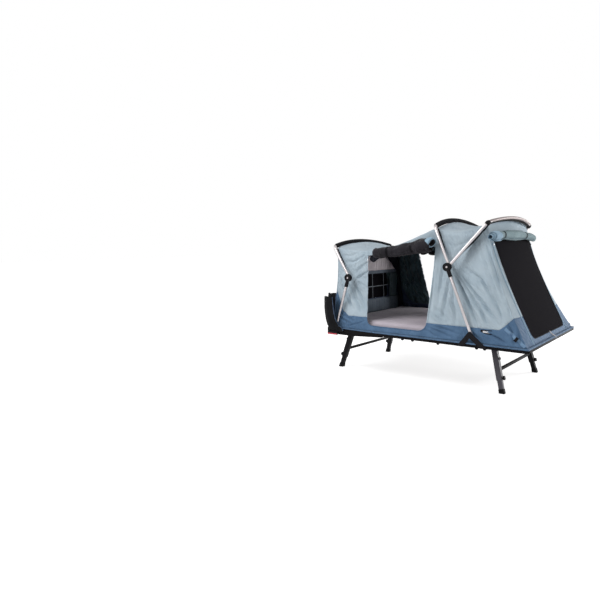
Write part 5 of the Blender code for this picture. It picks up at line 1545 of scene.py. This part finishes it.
def build_door_curtain(side, sign):
    """Netting of the side door that hangs out of the roll in a few short folds, inside the door's top."""
    columns, rows = 90, 8
    grid = []
    for column in range(columns + 1):
        share = column / columns
        x = -0.492 + 0.420 * share
        top = DOOR_HEAD_HITCH + 0.090 * max(0.0, (x + 0.5003) / 0.71) + 0.012
        drop = 0.030 + 0.050 * math.exp(-((share - 0.10) / 0.12) ** 2)
        drop += 0.022 * math.exp(-((share - 0.5) / 0.2) ** 2)
        drop *= min(1.0, (1 - share) / 0.15 + 0.2) * (1.0 if side == "near" else 0.35)
        wave = math.sin(2 * math.pi * (x / 0.034 + 0.7 * noise.noise(Vector((x * 11, 0, 5.0)))))
        line = []
        for row in range(rows + 1):
            down = row / rows
            z = top - drop * down
            inward = 0.010 + 0.006 * wave * (0.4 + 0.6 * down)
            line.append((x, on_wall(side, x, z).y - sign * inward, z))
        grid.append(line)
    runs = running_lengths([line[0] for line in grid])
    obj, area = grid_sheet(side + "_door_netting_fold", [
        [(place, (run, row * 0.008)) for row, place in enumerate(line)] for run, line in zip(runs, grid)
    ], flipped=True)
    apply_modifier(obj, "SOLIDIFY", thickness=0.0010, offset=0)
    finish_piece(obj, "netting", squash=True)


build_inside()

# The tent frame


LEG_STEPS = 10
BEND_STEPS = 12
ARC_STEPS = 48


def hoop_line(hoop):
    """Centre points of a hoop with the direction that points inside it at each."""
    along = Vector((math.cos(hoop["angle"]), 0, math.sin(hoop["angle"])))
    centre = Vector((hoop["hub"][0], 0, hoop["hub"][1]))
    corner_y, length, crown = hoop["corner_y"], hoop["length"], hoop["crown"]
    arc_radius = (corner_y**2 + crown**2) / (2 * crown)
    half_angle = math.asin(corner_y / arc_radius)
    middle = length + crown - arc_radius
    skip = HOOP_CORNER_REACH / arc_radius
    arc = []
    for index in range(ARC_STEPS + 1):
        angle = (half_angle - skip) * (2 * index / ARC_STEPS - 1)
        arc.append((middle + arc_radius * math.cos(angle), arc_radius * math.sin(angle)))
    start = (EYE_RADIUS * 0.8, -hoop["hub_y"])
    corner = (length, -corner_y)
    leg_length = math.hypot(corner[0] - start[0], corner[1] - start[1])
    share = 1 - HOOP_CORNER_REACH / leg_length
    leg = []
    for index in range(LEG_STEPS + 1):
        t = share * index / LEG_STEPS
        leg.append((
            start[0] + (corner[0] - start[0]) * t,
            start[1] + (corner[1] - start[1]) * t - HOOP_BOW * math.sin(math.pi * t),
        ))
    bend = []
    for index in range(1, BEND_STEPS):
        t = index / BEND_STEPS
        bend.append(tuple(
            (1 - t) ** 2 * a + 2 * t * (1 - t) * b + t**2 * c for a, b, c in zip(leg[-1], corner, arc[0])
        ))
    half = leg + bend
    flat = half + arc + [(r, -y) for r, y in reversed(half)]
    places = [centre + along * r + Vector((0, y, 0)) for r, y in flat]
    normal = along.cross(Vector((0, 1, 0)))
    inward = []
    for index in range(len(places)):
        a, b = places[max(0, index - 1)], places[min(len(places) - 1, index + 1)]
        run = (b - a).normalized()
        side = normal.cross(run).normalized()
        if side.dot(centre + along * (length * 0.5) - places[index]) < 0:
            side = -side
        inward.append(side)
    return places, inward, len(leg), len(half)


def tube_outline():
    """A drawn tube that is a touch square, so its faces catch the light in bands."""
    points = []
    for index in range(28):
        angle = 2 * math.pi * index / 28
        c, s = math.cos(angle), math.sin(angle)
        scale = TUBE_RADIUS / (abs(c) ** 2.6 + abs(s) ** 2.6) ** (1 / 2.6) * 0.97
        points.append((c * scale, s * scale))
    return points


def sleeve_outline(reach, wrap):
    """Section of the cloth sleeve that ties the roof to a hoop; its first axis points inside the hoop."""
    outer, inner, half = TUBE_RADIUS + 0.0026, TUBE_RADIUS + 0.0004, 0.0016
    count, end = (14, 155) if wrap else (4, 24)
    turn = math.degrees(math.asin(half / outer))
    points = [(reach, half)]
    points += circle_outline(outer, count, turn, end)
    points += circle_outline(inner, count, end, -end)
    points += circle_outline(outer, count, -end, -turn)
    return points + [(reach, -half)]


def ribbon(name, edge_a, edge_b, thickness, finish):
    """A flat band of cloth between two edges."""
    obj, _ = grid_sheet(name, [
        [(a.lerp(b, part), (run, part * (b - a).length)) for part in (0.0, 0.35, 0.7, 1.0)]
        for run, a, b in zip(running_lengths(edge_a), edge_a, edge_b)
    ])
    apply_modifier(obj, "SOLIDIFY", thickness=thickness, offset=0)
    finish_piece(obj, finish, squash=True)
    return obj


def build_leg_band(side, name, places):
    """The band of cloth that ties a hoop's leg to the wall beside it."""
    sign = SIDES[side]
    shift = 0.0 if name == "hitch_hoop" else 0.014
    tube_edge, wall_edge = [], []
    for index, place in enumerate(places):
        x = place.x + shift * min(1.0, index / 6)
        wall = wall_place(side, x, place.z, -0.002)
        tube_edge.append(Vector((place.x, place.y - sign * (TUBE_RADIUS + 0.0003), place.z)))
        out = min(1.0, (index + 0.6) / 4.5)
        wall_edge.append(tube_edge[-1].lerp(Vector((x, wall.y, place.z)), out))
    ribbon(f"{side}_{name}_band", tube_edge, wall_edge, 0.0022, "black_webbing")


def build_crown_strip(name, places, inward, reach):
    """The strip of roof cloth between the sleeve of an end hoop and the roof's end seam."""
    at_foot = name == "foot_hoop"
    half_width = interpolate(EAVE_HALF_WIDTHS, EAVE_FOOT[0] if at_foot else EAVE_HITCH[0])
    upper, lower = [], []
    for place, inside_way in zip(places, inward):
        across = place.y / half_width
        if abs(across) < 0.985:
            upper.append(place + inside_way * (reach + 0.0004))
            lower.append(end_column(across, at_foot)[1] + Vector((0, 0, 0.0012)))
    strip = ribbon(name.replace("hoop", "crown_strip"), upper, lower, 0.0016, "canopy_polyester")


def build_elbow(side, name, places, inward):
    """A small moulded elbow, thicker in its middle, clamped round a corner of the hoop."""
    outline = circle_outline(TUBE_RADIUS + 0.0046, 20)
    last = len(places) - 1
    scales = [1.0 + 0.24 * math.sin(math.pi * index / last) for index in range(last + 1)]
    elbow = sweep(f"{side}_{name}_elbow", places, outline, inward, scales=scales)
    rounded(elbow, 0.0022, 3, 40)
    finish_piece(elbow, "moulded_nylon", name)


# How far each hoop's sleeve reaches inside the hoop, to the roof
SLEEVE_REACH = {"hitch_hoop": 0.030, "middle_hoop": 0.033, "foot_hoop": 0.036}


def build_hoops():
    for name, hoop in HOOPS.items():
        places, inward, leg_count, half_count = hoop_line(hoop)
        tube = sweep(name + "_tube", places, tube_outline(), inward)
        for sign in SIDES.values():
            centre = Vector((hoop["hub"][0], sign * hoop["hub_y"], hoop["hub"][1]))
            half_eye = Vector((0, EYE_HALF_WIDTH, 0))
            eye = add_round("eye", centre - half_eye, centre + half_eye, EYE_RADIUS, 32)
            join_shape(tube, eye, "UNION")
            bore = add_round("bore", centre - 2 * half_eye, centre + 2 * half_eye, EYE_BORE_RADIUS, 24)
            join_shape(tube, bore, "DIFFERENCE")
        smooth_by_angle(tube, 40)
        finish_piece(tube, "anodised_tube", name, replaces=(name,), more=("painted_shade_tube",))
        # The foot hoop's crown, above its corners, takes the darker copy of the tube: painted shade.
        for polygon in tube.data.polygons:
            if name == "foot_hoop" and polygon.center.z > hoop["corner"][1] + 0.004:
                polygon.material_index = 1
        reach = SLEEVE_REACH[name]
        start, end = half_count - 4, len(places) - half_count + 4
        outline = sleeve_outline(reach, name != "foot_hoop")
        sleeve = sweep(name + "_sleeve", places[start:end], outline, inward[start:end])
        finish_piece(sleeve, "black_webbing", name)
        if name != "middle_hoop":
            build_crown_strip(name, places[start:end], inward[start:end], reach)
        last = len(places) - 1
        for side in SIDES:
            leg = list(range(2, leg_count + 3))
            bend = list(range(leg_count + 2, leg_count + 8))
            if side == "far":
                leg, bend = [last - i for i in leg], [last - i for i in bend]
            build_leg_band(side, name, [places[i] for i in leg])
            if name == "foot_hoop":
                build_elbow(side, name, [places[i] for i in bend], [inward[i] for i in bend])


def join_shape(target, other, operation):
    apply_modifier(target, "BOOLEAN", operation=operation, solver="EXACT", object=other)
    bpy.data.objects.remove(other)


HUB_HALF_DEPTH = 0.013
HUB_FACE_RADIUS = 0.0365
BUTTON_BORE_RADIUS = 0.0099


def build_struts_and_hubs():
    for end in ("foot", "hitch"):
        for side, sign in SIDES.items():
            name = f"{end}_{side}"
            refined(name + "_strut", "anodised_tube", edge=0.0008)
            refined(name + "_hub", "moulded_nylon", edge=0.0012)
            refined(name + "_hub_button", "anodised_tube", edge=0.0008)
            hub, hub_y = (FOOT_HUB, FOOT_HUB_Y) if end == "foot" else (HITCH_HUB, HITCH_HUB_Y)
            face = Vector((hub[0], sign * (hub_y + HUB_HALF_DEPTH), hub[1]))
            outward = Vector((0, sign, 0))
            plate = add_round(
                name + "_hub_face", face + outward * 0.0003, face + outward * 0.0042, HUB_FACE_RADIUS, 48
            )
            shape_hub_face(plate, face, outward)
            finish_piece(plate, "moulded_nylon", f"{end}_struts")


def shape_hub_face(plate, face, outward):
    """A bore that the button stands in, six grips round the rim and a raised ring."""
    def grip(centre, normal):
        if abs(normal.dot(outward)) > 0.5:
            return False
        angle = math.degrees(math.atan2(centre.z - face.z, centre.x - face.x)) % 60
        return angle < 15 and (centre - face).length > 0.03

    edit_faces(plate, lambda c, n: abs(n.dot(outward)) > 0.5)
    bpy.ops.mesh.inset(thickness=HUB_FACE_RADIUS - BUTTON_BORE_RADIUS, use_individual=True)
    bpy.ops.mesh.delete(type="FACE")
    bpy.ops.mesh.select_mode(type="EDGE")
    bpy.ops.mesh.select_all(action="DESELECT")
    bpy.ops.mesh.select_non_manifold()
    bpy.ops.mesh.bridge_edge_loops()
    bpy.ops.mesh.select_all(action="SELECT")
    bpy.ops.mesh.normals_make_consistent(inside=False)
    leave_edit()
    edit_faces(plate, grip)
    bpy.ops.transform.shrink_fatten(value=-0.0035)
    leave_edit()
    inset_and_push(plate, lambda c, n: n.dot(outward) > 0.5, 0.006, -0.0018)
    rounded(plate, 0.0006, 2)


build_hoops()
build_struts_and_hubs()

# Platform, legs and the hitch end


def build_platform():
    for side in SIDES:
        refined(side + "_side_rail", "powder_coated_steel", edge=0.003, segments=3)
    for end in ("foot", "hitch"):
        refined(end + "_end_rail", "powder_coated_steel", edge=0.003, segments=3)
        refined(end + "_leg_beam", "powder_coated_steel", edge=0.0015)
    refined("bed_board", "film_faced_plywood", edge=0.0015)
    for side in SIDES:
        refined(side + "_a_bracket", "moulded_nylon", edge=0.0003, segments=1)
        refined(side + "_corner_bracket", "moulded_nylon", edge=0.0003, segments=1)


def build_legs():
    for end in ("foot", "hitch"):
        refined(end + "_cross_bar", "powder_coated_steel", edge=0.002)
        for side in SIDES:
            name = f"{end}_{side}"
            # Only the near foot leg takes the lit copy of the coating; the others take the painted shade
            # copy.
            coating = "leg_coating" if name == "foot_near" else "painted_shade_leg_coating"
            refined(name + "_leg_sleeve", coating, edge=0.003, segments=3)
            refined(name + "_inner_leg", coating, edge=0.0025, segments=3)
            refined(name + "_foot_cap", "moulded_rubber", edge=0.004, segments=3)
            refined(name + "_clamp_knob", "moulded_nylon", edge=0.0012)


RAIL_BOLT_PLACES = (-0.016, 0.087, 0.337, 0.687, 0.756)
LENS_X = (-0.847, -0.733)
LENS_Y = (0.7718, 0.7940)
LENS_Z = (0.3970, 0.4110)


def build_hitch_end():
    refined("hitch_cradle", "powder_coated_steel", edge=0.003, segments=3)
    refined("stinger", "powder_coated_steel", edge=0.002)
    refined("hitch_pin", "zinc_plated", edge=0)
    for side, sign in SIDES.items():
        refined(side + "_marker_lamp", "moulded_nylon", edge=0.0)
        places = zip(LENS_X, sorted(sign * y for y in LENS_Y), LENS_Z)
        lens = add_block(side + "_lamp_lens", *places)
        inset_and_push(lens, lambda c, n: n.z < -0.5, 0.003, 0.001)
        rounded(lens, 0.0018, 2)
        finish_piece(lens, "red_acrylic")
    for number, x in enumerate(RAIL_BOLT_PLACES, 1):
        for side, sign in SIDES.items():
            build_rail_bolt(f"{side}_rail_bolt_{number}", x, sign)


def build_rail_bolt(name, x, sign):
    """The domed head of a bolt under a side rail, on its washer."""
    y = sign * (HALF_WIDTH - RAIL_WIDTH / 2)
    top = PLATFORM_UNDERSIDE
    head = add_round(name, (x, y, top - 0.012), (x, y, top), 0.013, 24)
    inset_and_push(head, lambda c, n: n.z < -0.5, 0.004, 0.003)
    edit_faces(head, lambda c, n: abs(n.z) < 0.5)
    bpy.ops.mesh.subdivide(number_cuts=1)
    leave_edit()
    rounded(head, 0.0012, 2, 30)
    finish_piece(head, "powder_coated_steel")


# Sections of the cover's two layers, in X and Z
COVER_OUTER = [
    (-0.9250, 0.765), (-0.9275, 0.700), (-0.9270, 0.640), (-0.9235, 0.590), (-0.9165, 0.548),
    (-0.9060, 0.512), (-0.8940, 0.484), (-0.8790, 0.463), (-0.8665, 0.4525),
]
COVER_INNER = [
    (-0.8850, 0.805), (-0.8905, 0.740), (-0.8960, 0.680), (-0.8985, 0.630), (-0.8975, 0.590),
    (-0.8930, 0.555), (-0.8850, 0.527),
]
COVER_HALF_WIDTH = 0.733


def build_travel_cover():
    """The travel cover hung upright: two padded layers of coated cloth that curl in under the hitch end."""
    for name, line, seed, thickness in (
        ("travel_cover_cloth", COVER_OUTER, 4.0, 0.013),
        ("travel_cover_inner_fold", COVER_INNER, 9.0, 0.010),
    ):
        obj, run = cover_layer(name, line, seed, thickness)
        if name == "travel_cover_cloth":
            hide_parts("travel_cover")


def cover_layer(name, line, seed, thickness):
    """One layer of the cover: a curved sheet with soft dents and an uneven top edge."""
    columns = 120
    line = refine_path(line, 0.012)
    runs = running_lengths(line)
    rows = []
    for row, ((x, z), run) in enumerate(zip(line, runs)):
        level = []
        fall = 1 - row / (len(line) - 1)
        for column in range(columns + 1):
            y = COVER_HALF_WIDTH * (2 * column / columns - 1)
            dent = 0.005 * noise.noise(Vector((y / 0.16, z / 0.11, seed)))
            dent += 0.003 * noise.noise(Vector((y / 0.05, z / 0.05, seed + 4.0)))
            height = abs(0.020 * noise.noise(Vector((y / 0.16, 0, seed + 11.0)))) * fall**2
            curl = 0.012 * math.exp(-((COVER_HALF_WIDTH - abs(y)) / 0.02) ** 2)
            level.append(((x + dent * min(1.0, fall * 3) + curl * fall, y, z - height), (y, run)))
        rows.append(level)
    obj, _ = grid_sheet(name, rows, flipped=True)
    if obj.data.polygons[0].normal.x > 0:
        obj.data.flip_normals()
    apply_modifier(obj, "SOLIDIFY", thickness=thickness, offset=0)
    rounded(obj, thickness * 0.3, 3, 50)
    finish_piece(obj, "cover_polyester")
    return obj, runs[-1]


# Each flap's reach in Y and thickness, then at each height the X of its start, its corner and its end
FLAP_LINES = {
    "travel_cover_flap": (
        0.797, 0.0050,
        ((0.447, -0.862, -0.826, -0.655), (0.463, -0.872, -0.829, -0.665), (0.505, -0.897, -0.835, -0.715),
         (0.540, -0.910, -0.845, -0.738), (0.569, -0.917, -0.852, -0.753), (0.621, -0.925, -0.861, -0.766),
         (0.669, -0.927, -0.866, -0.775), (0.730, -0.927, -0.869, -0.783), (0.780, -0.925, -0.870, -0.790)),
    ),
    "travel_cover_inner_flap": (
        0.764, 0.0040,
        ((0.530, -0.884, -0.845, -0.788), (0.600, -0.896, -0.850, -0.783), (0.680, -0.895, -0.850, -0.775),
         (0.760, -0.889, -0.846, -0.767), (0.812, -0.885, -0.842, -0.761)),
    ),
}


def flap_row(tables, reach, sign, share, z):
    """Places across a flap at one height, from under the cover round the corner to its free edge."""
    start, corner, end = (smooth_between(table, z) for table in tables)
    path = refine_path([
        (start, 0.728), (start + 0.3 * (corner - start), reach - 0.036), (corner - 0.004, reach - 0.010),
        (corner + 0.008, reach - 0.002), (corner + 0.022, reach), (end, reach),
    ], (end - start) / 16)
    lengths = running_lengths(path)
    line = []
    for column in range(25):
        along = lengths[-1] * column / 24
        x, y = (interpolate(list(zip(lengths, values)), along) for values in zip(*path))
        dent = 0.004 * noise.noise(Vector((x / 0.05, z / 0.08, 5.0 + sign)))
        rise = 0.010 * noise.noise(Vector((x / 0.04, 0, 2.0 * sign))) * share**3
        line.append(((x, sign * (y + abs(dent)), z + rise), (along, z)))
    return line


def build_cover_flap(name, side, reach, thickness, levels):
    """A side flap of the cover: it wraps round the hitch corner and runs out along the side rail."""
    sign = SIDES[side]
    tables = [[(level[0], level[place]) for level in levels] for place in (1, 2, 3)]
    low, drop = levels[0][0], levels[-1][0] - levels[0][0]
    rows = 30
    obj, area = grid_sheet(f"{side}_{name}", [
        flap_row(tables, reach, sign, row / rows, low + drop * (row / rows)) for row in range(rows + 1)
    ])
    apply_modifier(obj, "SOLIDIFY", thickness=thickness, offset=0)
    rounded(obj, thickness * 0.3, 3, 50)
    finish_piece(obj, "cover_polyester")
    heights = [low + drop * row / 40 for row in range(41)]
    edge = [Vector((smooth_between(tables[2], z), sign * reach, z)) for z in heights]
    outline = rounded_outline(thickness + 0.0030, 0.007, 0.0012)
    bound = sweep(f"{side}_{name}_binding", edge, outline, (1, 0, 0))
    finish_piece(bound, "cover_binding")


build_platform()
build_legs()
build_hitch_end()
build_travel_cover()
for name, facts in FLAP_LINES.items():
    for side in SIDES:
        build_cover_flap(name, side, *facts)

# Small sewn pieces


# Ends of the corner straps: X, and height over the fabric's foot
STRAP_START = (FOOT_END_X - 0.205, 0.143)
STRAP_END = (FOOT_END_X - 0.034, 0.012)


def build_corner_strap(side, sign):
    """The webbing strap that slants down to a foot corner, with its buckle."""
    points = []
    for index in range(13):
        share = index / 12
        x, rise = (a + (b - a) * share for a, b in zip(STRAP_START, STRAP_END))
        lift = 0.005 + 0.003 * math.sin(math.pi * share)
        points.append(wall_place(side, x, FABRIC_BOTTOM + rise) + Vector((0, sign * lift, 0)))
    strap = sweep(
        side + "_corner_strap_webbing", points, rounded_outline(0.002, 0.028, 0.0008), (0, sign, 0)
    )
    finish_piece(strap, "blue_webbing", replaces=(side + "_corner_strap",), squash=True)
    run = (points[8] - points[6]).normalized()
    buckle = add_block(side + "_strap_buckle", (-0.012, -0.004, -0.020), (0.012, 0.004, 0.020))
    inset_and_push(buckle, lambda c, n: abs(n.y) > 0.5, 0.005, -0.002)
    rounded(buckle, 0.0015, 2)
    across = Vector((0, sign, 0)).cross(run).normalized()
    turn = Matrix((run, Vector((0, sign, 0)), across)).transposed().to_4x4()
    buckle.data.transform(Matrix.Translation(points[7] + Vector((0, sign * 0.004, 0))) @ turn)
    if turn.determinant() < 0:
        buckle.data.flip_normals()
    finish_piece(buckle, "moulded_nylon", squash=True)


FOOT_ZIP_PULL = (0.540, 1.300)
DOOR_ZIP_PULL = (-0.508, 1.150)


def build_small_pieces():
    for side, sign in SIDES.items():
        build_corner_strap(side, sign)
        build_label(side, sign)
        across, height = FOOT_ZIP_PULL
        build_zip_pull(side + "_foot_zip_pull", wall_place("foot", sign * across, height, 0.007), 0.0)
        build_zip_pull(side + "_door_zip_pull", wall_place(side, *DOOR_ZIP_PULL, 0.006), 25.0 * sign)
    build_foot_tab()


def build_zip_pull(name, place, turn):
    """A metal zip pull with a ring end, hanging from its slider."""
    pull = add_block(name, (-0.0016, -0.0030, -0.026), (0.0016, 0.0030, 0.0))
    inset_and_push(pull, lambda c, n: abs(n.x) > 0.5, 0.0012, -0.0005)
    slider = add_block("slider", (-0.0035, -0.0050, -0.004), (0.0035, 0.0050, 0.008))
    join_shape(pull, slider, "UNION")
    rounded(pull, 0.0007, 2)
    pull.data.transform(Matrix.Translation(place) @ Matrix.Rotation(math.radians(turn), 4, "X"))
    finish_piece(pull, "zinc_plated", squash=True)


def build_foot_tab():
    """A webbing tab that ties the foot wall down to the rail, a little off the middle."""
    points = [
        wall_place("foot", 0.000, 0.514, 0.0035), wall_place("foot", 0.022, 0.490, 0.005),
        Vector((FOOT_END_X - 0.008, 0.040, 0.4745)), Vector((FOOT_END_X + 0.0045, 0.052, 0.4640)),
        Vector((FOOT_END_X + 0.0048, 0.056, 0.4480)),
    ]
    tab = sweep("foot_tab", points, rounded_outline(0.0020, 0.016, 0.0008), (1, 0, 0.2))
    finish_piece(tab, "grey_webbing")


# Where the moulded patch sits on a side wall, and the corners of the patch and of its centre, in X and Z
PATCH_PLACE = (0.745, 0.571)
PATCH_CORNERS = ((0.708, 0.549), (0.804, 0.586))
PATCH_CENTRE_CORNERS = ((0.727, 0.560), (0.787, 0.576))


def add_patch(name, corners, half, out):
    """A flat block between two corners in X and Z, moved out to its wall."""
    (x0, z0), (x1, z1) = corners
    patch = add_block(name, (x0, -half, z0), (x1, half, z1))
    patch.data.transform(Matrix.Translation((0, out, 0)))
    return patch


def build_label(side, sign):
    """A plain moulded patch on the seam of the lower wall, with nothing on it."""
    out = wall_place(side, *PATCH_PLACE, 0.0015).y
    patch = add_patch(side + "_seam_patch", PATCH_CORNERS, 0.0015, out)
    inset_and_push(patch, lambda c, n: n.y * sign > 0.5, 0.008, -0.001)
    rounded(patch, 0.001, 2)
    finish_piece(patch, "moulded_nylon", squash=True)
    centre = add_patch(side + "_seam_patch_centre", PATCH_CENTRE_CORNERS, 0.0010, out + sign * 0.0012)
    rounded(centre, 0.0006, 2)
    finish_piece(centre, "pale_patch", squash=True)


build_small_pieces()

# Floor, light and camera


FLOOR_LIFT = 0.72
WORLD_LIGHT = 0.34
LAMPS = (
    ("key", (-2.6, -3.6, 4.4), 3.0, 190.0),
    ("fill", (5.2, -2.4, 3.0), 3.0, 66.0),
    ("back", (3.2, 4.2, 1.5), 2.0, 130.0),
)


def seen_directly(tree):
    """1 for rays that meet the camera, a mirror or glass, so that these see a white studio."""
    path = add_node(tree, "LightPath")
    seen = path.outputs["Is Camera Ray"]
    for ray in ("Is Transmission Ray", "Is Glossy Ray"):
        seen = add_node(tree, "Math", {0: seen, 1: path.outputs[ray]}, operation="MAXIMUM").outputs[0]
    return seen


def build_floor():
    bpy.ops.object.select_all(action="DESELECT")
    bpy.ops.mesh.primitive_plane_add(size=80.0, location=(0, 0, 0))
    floor = bpy.context.object
    floor.name = "floor"
    paint = bpy.data.materials.new("white_floor")
    paint.use_nodes = True
    tree = paint.node_tree
    shader = tree.nodes["Principled BSDF"]
    shader.inputs["Base Color"].default_value = linear("#F4F4F4")
    shader.inputs["Roughness"].default_value = 1.0
    shader.inputs["Specular IOR Level"].default_value = 0.0
    shader.inputs["Emission Color"].default_value = (1, 1, 1, 1)
    lit = add_node(tree, "Math", {0: seen_directly(tree), 1: FLOOR_LIFT}, operation="MULTIPLY")
    tree.links.new(lit.outputs[0], shader.inputs["Emission Strength"])
    floor.data.materials.append(paint)


def build_lights():
    world = bpy.data.worlds.new("studio")
    bpy.context.scene.world = world
    world.use_nodes = True
    tree = world.node_tree
    tree.nodes.clear()
    bright = add_node(tree, "Background", {"Color": (1, 1, 1, 1), "Strength": 1.0})
    light = add_node(tree, "Background", {"Color": (1, 1, 1, 1), "Strength": WORLD_LIGHT})
    mix = add_node(tree, "MixShader", {0: seen_directly(tree), 1: light.outputs[0], 2: bright.outputs[0]})
    output = add_node(tree, "OutputWorld")
    tree.links.new(mix.outputs[0], output.inputs["Surface"])
    for name, place, size, power in LAMPS:
        lamp = bpy.data.lights.new(name, "AREA")
        lamp.size = size
        lamp.energy = power
        holder = bpy.data.objects.new(name, lamp)
        holder.location = place
        holder.rotation_mode = "QUATERNION"
        holder.rotation_quaternion = (Vector((0, 0, 0.8)) - Vector(place)).to_track_quat("-Z", "Y")
        bpy.context.scene.collection.objects.link(holder)


CAMERA_PLACE = Vector((2.339, -5.158, 1.3145))
CAMERA_YAW = math.radians(39.12)
CAMERA_PITCH = math.radians(6.01)
CAMERA_ROLL = math.radians(-0.25)
FOCAL_PIXELS = 532.7
PHOTO_WIDTH = 600


def build_camera():
    camera_data = bpy.data.cameras.new("camera")
    camera_data.sensor_width = 36.0
    camera_data.lens = FOCAL_PIXELS / PHOTO_WIDTH * 36.0
    camera = bpy.data.objects.new("camera", camera_data)
    bpy.context.scene.collection.objects.link(camera)
    ahead = Vector((
        -math.sin(CAMERA_YAW) * math.cos(CAMERA_PITCH), math.cos(CAMERA_YAW) * math.cos(CAMERA_PITCH),
        -math.sin(CAMERA_PITCH),
    ))
    camera.location = CAMERA_PLACE
    camera.rotation_mode = "QUATERNION"
    upright = ahead.to_track_quat("-Z", "Y")
    camera.rotation_quaternion = Matrix.Rotation(CAMERA_ROLL, 3, -ahead).to_quaternion() @ upright
    bpy.context.scene.camera = camera


build_floor()
build_lights()
build_camera()
bpy.context.scene.view_settings.view_transform = "Standard"
